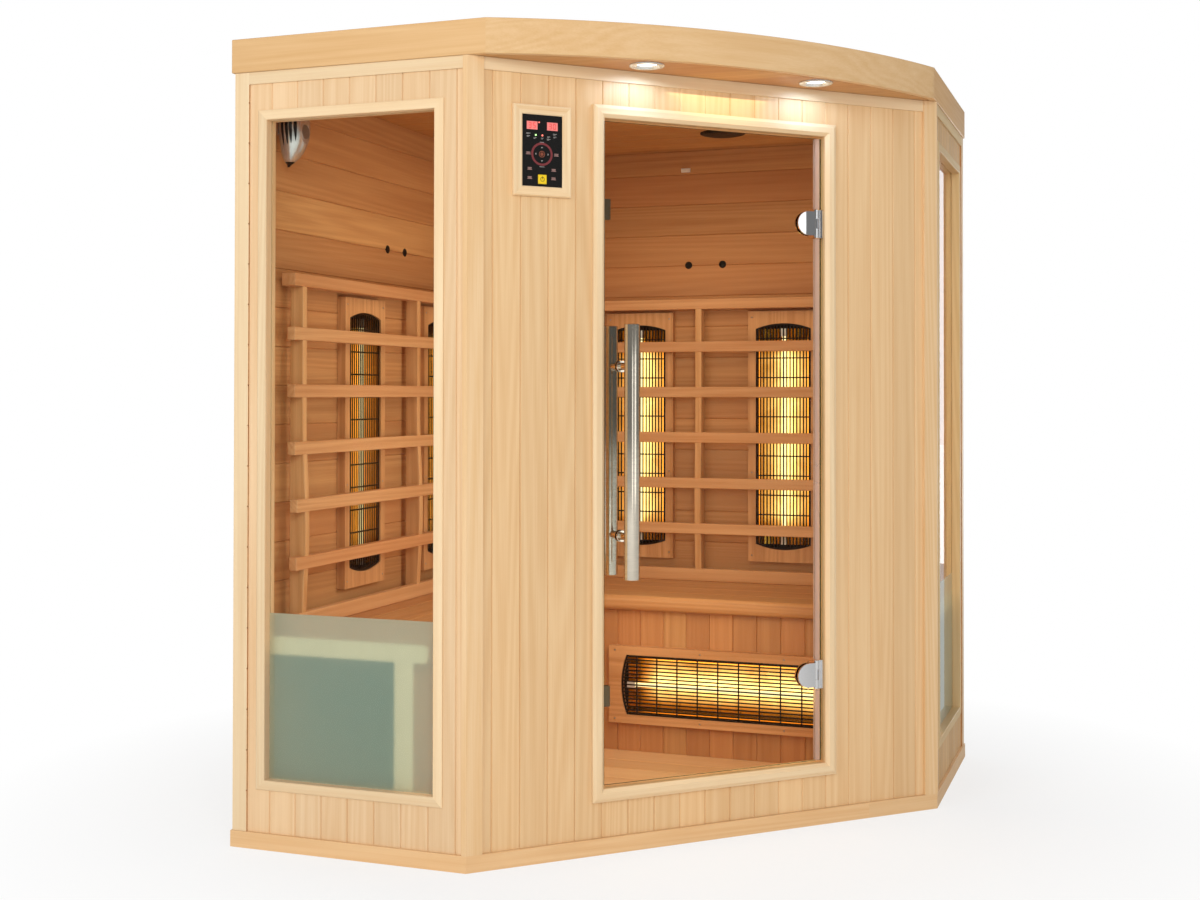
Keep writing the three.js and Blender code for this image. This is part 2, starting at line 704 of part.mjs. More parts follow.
function benchSeat(x0) {
  const boards = joints(NOSING + SEAT_ROUND, INNER, NOSING + SEAT_BOARD, SEAT_BOARD);
  const section = groovedSection(NOSING + SEAT_ROUND, INNER - SEAM, SEAT_TOP, SEAT_LOW, boards);
  const nosing = [];
  const steps = 4;
  for (let i = 0; i <= steps; i += 1) {
    const angle = Math.PI * (1 + i / steps / 2);
    const y = NOSING + SEAT_ROUND * (1 + Math.cos(angle));
    nosing.push([y, SEAT_LOW + SEAT_ROUND * (1 + Math.sin(angle))]);
  }
  const upper = nosing.map(([y, z]) => [y, SEAT_TOP + SEAT_LOW - z]);
  const outline = [...upper, ...section.slice(1, -1), ...nosing.reverse()];
  return alongX(outline, x0, INNER - SEAM);
}

add('bench_seat_right', benchSeat(SEAM - INNER), LINING_WOOD);
add('bench_seat_left', mirrored(benchSeat(SEAM - NOSING)), LINING_WOOD);

function benchFront(x0) {
  const high = INNER - SEAM;
  const boards = joints(x0, high, x0 + BOARD, BOARD);
  const back = BENCH_FACE + BENCH_FRONT;
  const low = FLOOR_TOP + SEAM;
  const top = SEAT_LOW - SEAM;
  const boarding = prism(groovedSection(x0, high, BENCH_FACE, back, boards), low, top);
  return joined(boarding, block(high - BENCH_POST, high, back - SEAM, back + BENCH_POST, low, top));
}

add('bench_front_right', benchFront(-BENCH_FACE), LINING_WOOD);
add('bench_front_left', mirrored(benchFront(SEAM - BENCH_FACE)), LINING_WOOD);

// Backrests: swelling posts that carry slats, with a rail over their tops and one at the seat

// Distance of a post's front edge from the wall at a height.
function backFront(z) {
  const away = Math.min(1, Math.abs(z - LUMBAR_HEIGHT) / LUMBAR_REACH);
  return BACK_GAP + BACK_DEPTH + LUMBAR * (1 + Math.cos(Math.PI * away)) / 2;
}

function backrest() {
  const low = SEAT_TOP + SEAM;
  const high = TOP_RAIL_MIDDLE;
  const wall = INNER;
  const steps = 8;
  const swellLow = Math.max(low + BOTTOM_RAIL_HEIGHT, LUMBAR_HEIGHT - LUMBAR_REACH);
  const swellHigh = LUMBAR_HEIGHT + LUMBAR_REACH;
  const edge = [[wall - backFront(low), low]];
  for (let i = 0; i <= steps; i += 1) {
    const z = swellLow + (swellHigh - swellLow) * i / steps;
    edge.push([wall - backFront(z), z]);
  }
  edge.push([wall - backFront(high), high]);
  const section = [[wall - BACK_GAP, high], [wall - BACK_GAP, low], ...edge];
  const places = [BACK_POST - BACK_INNER, BACK_POST / 2 - BACK_MIDDLE, BACK_END - BACK_LAP];
  const posts = places.map((x) => alongX(section, x - BACK_POST, x));
  const level = (middle, height, depth) => {
    const y0 = wall - backFront(middle) - SLAT_PROUD;
    return block(-BACK_INNER, BACK_END, y0, y0 + depth, middle - height / 2, middle + height / 2);
  };
  const heights = Array.from({ length: SLAT_COUNT }, (_, k) => SLAT_LOWEST + k * SLAT_PITCH);
  const slats = heights.map((middle) => level(middle, SLAT_HEIGHT, SLAT_DEPTH));
  const topRail = level(TOP_RAIL_MIDDLE, TOP_RAIL_HEIGHT, BACK_DEPTH + SLAT_PROUD);
  const bottomRail = level(low + BOTTOM_RAIL_HEIGHT / 2, BOTTOM_RAIL_HEIGHT, SLAT_DEPTH);
  return joined(...posts, ...slats, topRail, bottomRail);
}

add('backrest_right', backrest(), LINING_WOOD);
add('backrest_left', mirrored(backrest()), LINING_WOOD);

// Heaters, drawn upright about their middle: the wall is at y = 0 and the room at negative y

const OPENING_LENGTH = HEATER_LENGTH - 2 * HEATER_END;
const FRAME_FACE = -HEATER_PROUD;

// Draws a rectangle with bowed ends into a shape or a hole.
function drawArched(path, width, length, rise) {
  const radius = (width * width / 4 + rise * rise) / (2 * rise);
  const side = length / 2 - rise;
  const from = Math.atan2(radius - rise, width / 2);
  path.moveTo(width / 2, -side);
  path.lineTo(width / 2, side);
  path.absarc(0, length / 2 - radius, radius, from, Math.PI - from, false);
  path.lineTo(-width / 2, -side);
  path.absarc(0, radius - length / 2, radius, Math.PI + from, 2 * Math.PI - from, false);
  return path;
}

function heaterFrame() {
  const w = HEATER_WIDTH / 2;
  const l = HEATER_LENGTH / 2;
  const board = shapeOf([[-w, -l], [w, -l], [w, l], [-w, l]]);
  board.holes.push(drawArched(new THREE.Path(), HEATER_OPENING, OPENING_LENGTH, HEATER_ARCH));
  return slab(board, FRAME_FACE, -SEAM, 4);
}

function heaterGrille() {
  const width = HEATER_OPENING - 2 * SEAM;
  const length = OPENING_LENGTH - 2 * SEAM;
  const face = FRAME_FACE + GRILLE_SET;
  const sheet = slab(drawArched(new THREE.Shape(), width, length, HEATER_ARCH), face, face + GRILLE, 4);
  const gap = GRILLE_PITCH - GRILLE_BAR;
  const columns = Math.floor((width - 2 * GRILLE_EDGE + GRILLE_BAR) / GRILLE_PITCH);
  const high = length / 2 - HEATER_ARCH - GRILLE_EDGE;
  const rowPitch = (2 * high + GRILLE_CROSS) / GRILLE_ROWS;
  const gaps = [];
  for (let row = 0; row < GRILLE_ROWS; row += 1) {
    const z0 = row * rowPitch - high;
    const z1 = z0 + rowPitch - GRILLE_CROSS;
    for (let column = 0; column < columns; column += 1) {
      const x0 = (column - columns / 2) * GRILLE_PITCH + GRILLE_BAR / 2;
      gaps.push(block(x0, x0 + gap, face - GRILLE, face + 2 * GRILLE, z0, z1));
    }
  }
  return cut(sheet, ...gaps);
}

// A gilded trough with one quartz tube between two end blocks.
function heaterEmitter() {
  const rim = HEATER_OPENING / 2 - REFLECTOR_SIDE;
  const back = REFLECTOR_FLAT / 2;
  const edge = FRAME_FACE + GRILLE_SET + GRILLE + SEAM;
  const length = OPENING_LENGTH - 2 * HEATER_ARCH;
  const trough = prism([
    [-rim, edge], [-back, -SEAM], [back, -SEAM], [rim, edge],
    [rim - 2 * REFLECTOR, edge], [back - REFLECTOR, -SEAM - REFLECTOR],
    [REFLECTOR - back, -SEAM - REFLECTOR], [2 * REFLECTOR - rim, edge],
  ], -length / 2, length / 2);
  const tubeEnd = (length - EMITTER_CAP_LENGTH) / 2;
  const tube = uprightBar(EMITTER_RADIUS, -tubeEnd, tubeEnd, 0, -EMITTER_OFF, 10);
  const capEnd = Math.max(edge + SEAM, -EMITTER_OFF - EMITTER_CAP / 2);
  const caps = [-1, 1].map((end) => {
    const middle = end * tubeEnd;
    const half = EMITTER_CAP_LENGTH / 2;
    return block(-EMITTER_CAP / 2, EMITTER_CAP / 2, capEnd, -2 * SEAM, middle - half, middle + half);
  });
  return joined(trough, tube, ...caps);
}

const heaterPieces = [
  ['frame', heaterFrame(), LINING_WOOD],
  ['grille', heaterGrille(), GRILLE_BLACK],
  ['emitter', heaterEmitter(), REFLECTOR_GOLD],
];

for (const [part, geometry, look] of heaterPieces) {
  for (const [place, x] of [['outer', HEATER_FROM_MIDDLE], ['inner', -HEATER_FROM_MIDDLE]]) {
    const right = geometry.clone().translate(x, INNER, HEATER_MIDDLE);
    add(`heater_right_${place}_${part}`, right, look);
    add(`heater_left_${place}_${part}`, mirrored(right), look);
  }
  const leg = add(`leg_heater_${part}`, geometry, look);
  leg.position.set(LEG_HEATER_X, BENCH_FACE, LEG_HEATER_MIDDLE);
  leg.rotation.y = Math.PI / 2;
}

// Door glass, cut out round the hinges and drilled for the handle

const GLASS_LEFT = DOOR_GAP - DOOR_HALF;
const GLASS_RIGHT = DOOR_HALF - DOOR_GAP;
const GLASS_FRONT = DOOR_SET;
const GLASS_BACK = DOOR_SET + DOOR_PANE;
const HINGE_X = DOOR_HALF - HINGE_FROM_JAMB;
const HINGE_Y = (GLASS_FRONT + GLASS_BACK) / 2;
const HINGE_PLACES = [['lower', DOOR_LOW + HINGE_INSET], ['upper', DOOR_HIGH - HINGE_INSET]];
const STRIKE_PLACES = [['lower', DOOR_LOW + STRIKE_INSET], ['upper', DOOR_HIGH - STRIKE_INSET]];
const HANDLE_X = HANDLE_FROM_JAMB - DOOR_HALF;
const POST_PLACES = [HANDLE_CENTRE - HANDLE_SPAN / 2, HANDLE_CENTRE + HANDLE_SPAN / 2];

function doorGlass() {
  const low = DOOR_LOW + DOOR_GAP;
  const high = DOOR_HIGH - DOOR_GAP;
  const pane = block(GLASS_LEFT, GLASS_RIGHT, GLASS_FRONT, GLASS_BACK, low, high);
  const notches = HINGE_PLACES.map(([, z]) => block(
    HINGE_X - NOTCH_REACH, DOOR_HALF,
    GLASS_FRONT - DOOR_PANE, GLASS_BACK + DOOR_PANE,
    z - NOTCH_HALF, z + NOTCH_HALF,
  ));
  const holes = POST_PLACES.map((z) => barAlongY(
    HANDLE_STUD + STUD_PLAY, GLASS_FRONT - DOOR_PANE, GLASS_BACK + DOOR_PANE, HANDLE_X, z, 12,
  ));
  return cut(pane, ...notches, ...holes);
}

add('door_glass', doorGlass(), CLEAR_GLASS, front);

// Handle bars on both faces of the glass: the outer one's studs pass through it

function handleBar(y) {
  const bevel = HANDLE_RADIUS / 8;
  const half = HANDLE_LENGTH / 2;
  const bar = turned([
    [0, -half], [HANDLE_RADIUS - bevel, -half], [HANDLE_RADIUS, bevel - half],
    [HANDLE_RADIUS, half - bevel], [HANDLE_RADIUS - bevel, half], [0, half],
  ], 20);
  return bar.translate(HANDLE_X, y, HANDLE_CENTRE);
}

function outerHandle() {
  const y = GLASS_FRONT - HANDLE_OFF;
  const posts = POST_PLACES.flatMap((z) => [
    barAlongY(HANDLE_POST, y, GLASS_FRONT - SEAM, HANDLE_X, z),
    barAlongY(HANDLE_ROSE, GLASS_FRONT - SEAM - HANDLE_ROSE_THICK, GLASS_FRONT - SEAM, HANDLE_X, z),
    barAlongY(HANDLE_STUD, y, GLASS_BACK, HANDLE_X, z, 12),
  ]);
  return joined(handleBar(y), ...posts);
}

function innerHandle() {
  const y = GLASS_BACK + HANDLE_OFF;
  const posts = POST_PLACES.flatMap((z) => [
    barAlongY(HANDLE_POST, GLASS_BACK + SEAM, y, HANDLE_X, z),
    barAlongY(HANDLE_ROSE, GLASS_BACK + SEAM, GLASS_BACK + SEAM + HANDLE_ROSE_THICK, HANDLE_X, z),
  ]);
  return joined(handleBar(y), ...posts);
}

add('handle_outer', outerHandle(), STEEL, front);
add('handle_inner', innerHandle(), STEEL, front);

// Hinges: a plate on the jamb with two knuckles and the pin, and a bell-shaped clamp on the glass

function hingeJambPlate() {
  const leafEnd = DOOR_HALF - SEAM;
  const leaf = block(
    leafEnd - HINGE_LEAF, leafEnd,
    HINGE_LEAF_SET, HINGE_LEAF_SET + HINGE_LEAF_DEPTH,
    -HINGE_HEIGHT / 2, HINGE_HEIGHT / 2,
  );
  const low = KNUCKLE_HALF + KNUCKLE_PLAY;
  const high = HINGE_HEIGHT / 2;
  const knuckles = [[low, high], [-high, -low]].flatMap(([z0, z1]) => [
    uprightBar(KNUCKLE, z0, z1, HINGE_X, HINGE_Y),
    block(HINGE_X, leafEnd - HINGE_LEAF / 2, HINGE_Y - KNUCKLE / 2, HINGE_Y + KNUCKLE / 2, z0, z1),
  ]);
  return joined(leaf, ...knuckles, uprightBar(PIN, -high, high, HINGE_X, HINGE_Y, 20));
}

function hingeClamp() {
  const straight = HINGE_X - BELL_FROM_AXIS;
  const round = straight - BELL_REACH / 3;
  const bell = new THREE.Shape();
  bell.moveTo(straight, -BELL_HALF);
  bell.lineTo(straight, BELL_HALF);
  bell.lineTo(round, BELL_HALF);
  bell.absellipse(round, 0, BELL_REACH * 2 / 3, BELL_HALF, Math.PI / 2, Math.PI * 3 / 2, false);
  bell.closePath();
  const outer = slab(bell, GLASS_FRONT - SEAM - BELL_PLATE, GLASS_FRONT - SEAM);
  const inner = slab(bell, GLASS_BACK + SEAM, GLASS_BACK + SEAM + BELL_PLATE);
  const core = block(
    HINGE_X - NOTCH_REACH + SEAM, straight,
    GLASS_FRONT - BELL_PLATE / 2, GLASS_BACK + BELL_PLATE / 2,
    -BELL_HALF, BELL_HALF,
  );
  const knuckle = uprightBar(KNUCKLE, -KNUCKLE_HALF, KNUCKLE_HALF, HINGE_X, HINGE_Y);
  const armHalf = KNUCKLE / 2;
  const arm = block(
    straight - SEAM, HINGE_X, HINGE_Y - armHalf, HINGE_Y + armHalf, -KNUCKLE_HALF, KNUCKLE_HALF,
  );
  const bore = uprightBar(PIN + PIN_PLAY, -HINGE_HEIGHT, HINGE_HEIGHT, HINGE_X, HINGE_Y, 20);
  return cut(joined(outer, inner, core, knuckle, arm), bore);
}

for (const [place, z] of HINGE_PLACES) {
  add(`hinge_jamb_plate_${place}`, hingeJambPlate(), CHROME, front).position.z = z;
  add(`hinge_clamp_${place}`, hingeClamp(), CHROME, front).position.z = z;
}

// Strike plates for the magnetic catches, folded round the free edge of the glass

function strikePlate() {
  const edge = GLASS_LEFT - SEAM;
  const face = GLASS_FRONT - SEAM;
  const back = GLASS_BACK + SEAM;
  const reach = GLASS_LEFT + STRIKE_REACH;
  const section = [
    [edge - STRIKE, face - STRIKE], [reach, face - STRIKE], [reach, face], [edge, face],
    [edge, back], [reach, back], [reach, back + STRIKE], [edge - STRIKE, back + STRIKE],
  ];
  return prism(section, -STRIKE_HEIGHT / 2, STRIKE_HEIGHT / 2);
}

for (const [place, z] of STRIKE_PLACES) {
  add(`strike_plate_${place}`, strikePlate(), GREY_STEEL, front).position.z = z;
}

// Control panel: a wooden bezel, the black face and its one square key

const PANEL_X = PANEL_ASIDE - (DOOR_HALF + DOOR_MOULDING + FRONT_HALF - POST_FRONT) / 2;

function controlBezel() {
  const round = BEZEL_PROUD / 4;
  const profile = [
    [SEAM, -SEAM],
    [SEAM, round - BEZEL_PROUD],
    [SEAM + round, -BEZEL_PROUD],
    [BEZEL - round, -BEZEL_PROUD],
    [BEZEL, round - BEZEL_PROUD],
    [BEZEL, -SEAM],
  ];
  return mitredFrame(profile, -PANEL_WIDTH / 2, PANEL_WIDTH / 2, -PANEL_HEIGHT / 2, PANEL_HEIGHT / 2);
}

function controlFace() {
  const w = PANEL_WIDTH / 2;
  const h = PANEL_HEIGHT / 2;
  const plate = block(-w, w, -PANEL, -SEAM, -h, h);
  const displays = [-1, 1].map((side) => block(
    side * DISPLAY_ASIDE - DISPLAY_WIDTH / 2, side * DISPLAY_ASIDE + DISPLAY_WIDTH / 2,
    -2 * PANEL, DISPLAY_RECESS - PANEL,
    DISPLAY_ABOVE - DISPLAY_HEIGHT / 2, DISPLAY_ABOVE + DISPLAY_HEIGHT / 2,
  ));
  const half = KEY / 2 + KEY_PLAY;
  const well = block(-half, half, -2 * PANEL, PANEL, -KEY_BELOW - half, -KEY_BELOW + half);
  return cut(plate, ...displays, well);
}

function squareKey() {
  const half = KEY / 2 - KEY_EDGE;
  const outline = shapeOf([[-half, -half], [half, -half], [half, half], [-half, half]]);
  const body = new THREE.ExtrudeGeometry(outline, {
    depth: KEY_BODY - 2 * KEY_EDGE, bevelSize: KEY_EDGE, bevelThickness: KEY_EDGE, bevelSegments: 1,
  });
  body.rotateX(Math.PI / 2);
  return body.translate(0, KEY_BODY - KEY_EDGE - PANEL - KEY_PROUD, -KEY_BELOW);
}

for (const [name, geometry, look] of [
  ['control_bezel', controlBezel(), TRIM_WOOD],
  ['control_face', controlFace(), BLACK_PLASTIC],
  ['power_key', squareKey(), YELLOW_PLASTIC],
]) {
  add(name, geometry, look, front).position.set(PANEL_X, 0, PANEL_CENTRE);
}

// Air ioniser: a slotted silver pod on the left back wall, near the side wall, its tip leaning back

function ioniser() {
  const r = IONISER_RADIUS;
  const l = IONISER_LENGTH;
  const pod = turned([
    [0, 0], [r * 0.07, 0], [r * 0.12, l * 0.04], [r * 0.4, l * 0.11], [r * 0.69, l * 0.25],
    [r * 0.88, l * 0.42], [r * 0.98, l * 0.61], [r, l * 0.72], [r * 0.95, l * 0.87],
    [r * 0.81, l * 0.97], [r * 0.62, l], [0, l],
  ], 16);
  const places = pod.getAttribute('position');
  const straight = l * 0.6;
  for (let i = 0; i < places.count; i += 1) {
    const below = Math.max(0, 1 - places.getZ(i) / straight);
    places.setX(i, places.getX(i) - IONISER_LEAN * below ** 2);
  }
  const slots = Array.from({ length: IONISER_SLOTS }, (_, k) => {
    const slot = block(r * 0.86, r * 1.2, -r * 0.06, r * 0.06, l * 0.5, l * 0.9);
    return slot.rotateZ((k + 0.5) * 2 * Math.PI / IONISER_SLOTS);
  });
  const foot = block(SEAM - IONISER_OFF, 0, -r / 2, r / 2, l * 0.6, l * 0.95);
  const roomSide = block(IONISER_FACE, 2 * r, -2 * r, 2 * r, 0, 2 * l);
  const pierced = joined(cut(pod, roomSide, ...slots), foot);
  return pierced.translate(IONISER_OFF - INNER, IONISER_FROM_SIDE - INNER, IONISER_TIP);
}

add('air_ioniser', ioniser(), SILVER_PLASTIC);

// Temperature sensor on the right back wall

function temperatureSensor() {
  const slope = SENSOR_PROUD / 3;
  const low = SENSOR_MIDDLE - SENSOR_HEIGHT / 2;
  const high = SENSOR_MIDDLE + SENSOR_HEIGHT / 2;
  const wall = INNER - SEAM;
  const face = INNER - SENSOR_PROUD;
  const section = [
    [wall, low], [wall, high], [face + slope, high],
    [face, high - slope], [face, low + slope], [face + slope, low],
  ];
  return alongX(section, SENSOR_X - SENSOR_WIDTH / 2, SENSOR_X + SENSOR_WIDTH / 2);
}

add('temperature_sensor', temperatureSensor(), WHITE_PLASTIC);

export default cabin;
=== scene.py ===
"""Looks of the corner infrared sauna cabin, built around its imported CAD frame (metres, +Z up)."""
import math

import bmesh
import bpy
from mathutils import Matrix, Vector


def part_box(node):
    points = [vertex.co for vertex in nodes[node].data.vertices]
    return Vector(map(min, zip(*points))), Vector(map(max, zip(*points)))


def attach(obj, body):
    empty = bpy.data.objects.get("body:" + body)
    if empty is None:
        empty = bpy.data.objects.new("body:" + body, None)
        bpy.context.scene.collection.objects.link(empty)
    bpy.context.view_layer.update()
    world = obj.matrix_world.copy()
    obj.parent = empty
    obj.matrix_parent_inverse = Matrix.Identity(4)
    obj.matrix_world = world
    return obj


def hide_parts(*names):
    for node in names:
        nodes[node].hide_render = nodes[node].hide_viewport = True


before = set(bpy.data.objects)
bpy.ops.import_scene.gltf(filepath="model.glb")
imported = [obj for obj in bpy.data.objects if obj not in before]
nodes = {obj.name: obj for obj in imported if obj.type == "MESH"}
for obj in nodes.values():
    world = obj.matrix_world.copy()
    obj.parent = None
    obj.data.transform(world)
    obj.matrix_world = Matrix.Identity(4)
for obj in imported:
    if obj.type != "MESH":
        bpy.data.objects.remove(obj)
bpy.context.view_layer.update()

# Places shared with the CAD model
HALF = 0.753
INNER = 0.715
SIDE = 0.601
SOFFIT = 1.8203
FRONT = Matrix.Translation((SIDE / 2, -SIDE / 2, 0)) @ Matrix.Rotation(math.pi / 4, 4, "Z")
HEATERS = {
    "heater_right_outer": Matrix.Translation((0.229, INNER, 0.936)),
    "heater_right_inner": Matrix.Translation((-0.229, INNER, 0.936)),
    "heater_left_outer": Matrix.Translation((-INNER, -0.229, 0.936)) @ Matrix.Rotation(math.pi / 2, 4, "Z"),
    "heater_left_inner": Matrix.Translation((-INNER, 0.229, 0.936)) @ Matrix.Rotation(math.pi / 2, 4, "Z"),
    "leg_heater": Matrix.Translation((0.198, 0.300, 0.237)) @ Matrix.Rotation(math.pi / 2, 4, "Y"),
}


def srgb(text):
    """A hex colour as linear RGBA."""
    parts = [int(text[i:i + 2], 16) / 255 for i in (0, 2, 4)]
    return tuple(c / 12.92 if c <= 0.04045 else ((c + 0.055) / 1.055) ** 2.4 for c in parts) + (1.0,)


# Materials

class Graph:
    """One node material, with short calls for the nodes used here."""

    def __init__(self, name):
        self.material = bpy.data.materials.new(name)
        self.material.use_nodes = True
        tree = self.material.node_tree
        self.nodes, self.links = tree.nodes, tree.links
        self.nodes.clear()
        self.output = self.nodes.new("ShaderNodeOutputMaterial")
        self.shader = self.nodes.new("ShaderNodeBsdfPrincipled")
        self.links.new(self.shader.outputs[0], self.output.inputs[0])

    def put(self, socket, value):
        if isinstance(value, bpy.types.NodeSocket):
            self.links.new(value, socket)
        else:
            socket.default_value = value

    def add(self, kind, inputs=None, **settings):
        node = self.nodes.new(kind)
        for key, value in settings.items():
            setattr(node, key, value)
        for key, value in (inputs or {}).items():
            self.put(node.inputs[key], value)
        return node

    def math(self, operation, a, b=0.0):
        return self.add("ShaderNodeMath", {0: a, 1: b}, operation=operation).outputs[0]

    def noise(self, vector, scale, detail=2.0, roughness=0.5, distortion=0.0):
        sockets = {"Vector": vector, "Scale": scale, "Detail": detail, "Roughness": roughness, "Distortion": distortion}
        return self.add("ShaderNodeTexNoise", sockets).outputs[0]

    def mix(self, factor, a, b, blend="MIX"):
        return self.add("ShaderNodeMix", {0: factor, 6: a, 7: b}, data_type="RGBA", blend_type=blend).outputs[2]

    def pick(self, factor, a, b):
        return self.add("ShaderNodeMix", {0: factor, 2: a, 3: b}, data_type="FLOAT").outputs[0]

    def span(self, value, low, high, to_low, to_high):
        sockets = {0: value, 1: low, 2: high, 3: to_low, 4: to_high}
        return self.add("ShaderNodeMapRange", sockets).outputs[0]

    def coords(self, turn=0.0):
        vector = self.add("ShaderNodeTexCoord").outputs["Object"]
        if turn:
            sockets = {"Vector": vector, "Angle": math.radians(turn)}
            vector = self.add("ShaderNodeVectorRotate", sockets, rotation_type="Z_AXIS").outputs[0]
        return vector

    def split(self, vector):
        return self.add("ShaderNodeSeparateXYZ", {0: vector}).outputs

    def join(self, x, y, z):
        return self.add("ShaderNodeCombineXYZ", {0: x, 1: y, 2: z}).outputs[0]

    def bump(self, height, strength, distance):
        node = self.add("ShaderNodeBump", {"Height": height, "Strength": strength, "Distance": distance})
        self.links.new(node.outputs[0], self.shader.inputs["Normal"])

    def set(self, **values):
        for key, value in values.items():
            self.put(self.shader.inputs[key.replace("_", " ")], value)


def wood(name, light, dark, along="z", across="x", turn=0.0, pitch=None, start=0.0, spread=0.07, warm=None,
         seed=0.0, mitre=None, rough=0.46, plinth=False, sheen=0.06, figure=0.13, shine=0.5):
    """Sawn and sanded boards. Grain runs along one axis; each board has its own tone and its own stretch of grain.

    mitre is (middle x, middle z, half width, half height) of a frame's opening, whose members turn at the corners.
    figure is the weight of the year rings beside the fine fibres.
    """
    g = Graph(name)
    axes = dict(zip("xyz", g.split(g.coords(turn))))
    third = ({"x", "y", "z"} - {along, across}).pop()
    u, v, w = axes[across], axes[third], axes[along]
    cell = seed * 7.31
    if plinth:
        level = g.math("GREATER_THAN", g.math("ABSOLUTE", g.split(g.add("ShaderNodeNewGeometry").outputs["Normal"])[2]), 0.5)
        diagonal = g.math("MULTIPLY", g.math("ADD", axes["x"], axes["y"]), 0.7071)
        u, w = g.pick(level, axes["z"], u), g.pick(level, diagonal, w)
        cell = g.math("MULTIPLY", level, g.math("FLOOR", g.math("DIVIDE", g.math("SUBTRACT", axes[across], start), pitch)))
    elif mitre:
        x, z, half_width, half_height = mitre
        away_x = g.math("SUBTRACT", g.math("ABSOLUTE", g.math("SUBTRACT", axes["x"], x)), half_width)
        away_z = g.math("SUBTRACT", g.math("ABSOLUTE", g.math("SUBTRACT", axes["z"], z)), half_height)
        upright = g.math("GREATER_THAN", away_x, away_z)
        u, w = g.pick(upright, axes["z"], axes["x"]), g.pick(upright, axes["x"], axes["z"])
        v = axes["y"]
        side = g.pick(upright, g.math("GREATER_THAN", axes["z"], z), g.math("GREATER_THAN", axes["x"], x))
        cell = g.math("ADD", g.math("MULTIPLY", upright, 2.0), g.math("ADD", side, seed * 7.31))
    elif pitch:
        cell = g.math("ADD", g.math("FLOOR", g.math("DIVIDE", g.math("SUBTRACT", u, start), pitch)), seed * 7.31)
    random = g.add("ShaderNodeTexWhiteNoise", {"W": cell}, noise_dimensions="1D").outputs[1]
    r1, r2, r3 = g.split(random)
    shifted = [g.math("ADD", axis, g.math("MULTIPLY", r, 7.0)) for axis, r in ((u, r1), (v, r2), (w, r3))]
    slow = g.join(shifted[0], shifted[1], g.math("MULTIPLY", shifted[2], 0.03))
    field = g.noise(slow, 8.0, 1.0, 0.4, 0.15)
    rings = g.span(g.math("SINE", g.math("MULTIPLY", field, 120.0)), -1.0, 1.0, 0.0, 1.0)
    fibre = g.noise(g.join(shifted[0], shifted[1], g.math("MULTIPLY", shifted[2], 0.010)), 620.0, 2.0, 0.6)
    streak = g.noise(g.join(shifted[0], shifted[1], g.math("MULTIPLY", shifted[2], 0.015)), 90.0, 2.0, 0.5)
    blotch = g.noise(g.join(shifted[0], shifted[1], g.math("MULTIPLY", shifted[2], 0.2)), 7.0, 3.0, 0.55)
    tone = g.math("ADD", g.math("MULTIPLY", rings, figure), g.math("MULTIPLY", fibre, 0.30))
    tone = g.math("ADD", tone, g.math("MULTIPLY", streak, 0.30))
    tone = g.math("ADD", tone, g.math("MULTIPLY", blotch, 0.40 - figure))
    colour = g.mix(g.span(tone, 0.30, 0.70, 0.0, 1.0), srgb(light), srgb(dark))
    if warm:
        colour = g.mix(g.math("MULTIPLY", r2, 0.55), colour, srgb(warm))
    value = g.span(r1, 0.0, 1.0, 1.0 - spread, 1.0 + spread * 0.6)
    colour = g.add("ShaderNodeHueSaturation", {"Value": value, "Color": colour}).outputs[0]
    g.set(Base_Color=colour, Roughness=g.span(fibre, 0.3, 0.7, rough - 0.06, rough + 0.1), Coat_Weight=sheen,
          Coat_Roughness=0.35, Specular_IOR_Level=shine)
    g.bump(g.math("ADD", g.math("MULTIPLY", rings, 0.35), fibre), 0.16, 0.0006)
    return g.material


def plastic(name, colour, rough, grain=0.05, scale=900.0, metallic=0.0, sub="000000", shine=0.5):
    """Moulded plastic or coated sheet with a fine texture and slight clouding."""
    g = Graph(name)
    vector = g.coords()
    fine = g.noise(vector, scale, 2.0)
    cloud = g.noise(vector, 14.0, 2.0)
    g.set(Base_Color=g.mix(g.span(cloud, 0.3, 0.7, 0.0, 0.16), srgb(colour), srgb(sub)), Metallic=metallic,
          Roughness=g.span(fine, 0.3, 0.7, rough - 0.05, rough + 0.07), Specular_IOR_Level=shine)
    g.bump(fine, grain, 0.0004)
    return g.material


def metal(name, colour, rough, stretch=(1.0, 1.0, 1.0), brushed=0.04, scale=500.0):
    """Bare metal with brushing drawn out by stretch."""
    g = Graph(name)
    x, y, z = g.split(g.coords())
    vector = g.join(*[g.math("MULTIPLY", axis, s) for axis, s in zip((x, y, z), stretch)])
    lines = g.noise(vector, scale, 3.0, 0.6)
    smudge = g.noise(vector, 9.0, 2.0)
    level = g.math("ADD", g.span(lines, 0.3, 0.7, rough * 0.75, rough * 1.25), g.span(smudge, 0.4, 0.7, 0.0, 0.04))
    g.set(Base_Color=g.mix(g.span(lines, 0.3, 0.7, 0.0, 0.3), srgb(colour), srgb("8d8c88")), Metallic=1.0, Roughness=level)
    g.bump(lines, brushed, 0.0003)
    return g.material


def domed_chrome(name, left, width):
    """Polished plate with a slight swell across the door, from its left edge over its width."""
    g = Graph(name)
    x, y, z = g.split(g.coords())
    across = g.math("SUBTRACT", g.math("MULTIPLY", g.math("ADD", x, y), math.sqrt(0.5)), left)
    fall = g.math("MULTIPLY", g.math("MULTIPLY", across, across), 0.214 / width)
    swell = g.math("SUBTRACT", g.math("MULTIPLY", across, 0.287), fall)
    lines = g.noise(g.coords(), 500.0, 3.0, 0.6)
    g.set(Base_Color=g.mix(g.span(lines, 0.3, 0.7, 0.0, 0.3), srgb("e9eaec"), srgb("8d8c88")), Metallic=1.0,
          Roughness=g.span(lines, 0.3, 0.7, 0.05, 0.09))
    g.bump(swell, 1.0, 1.0)
    return g.material


CLEAR_IOR = 1.12


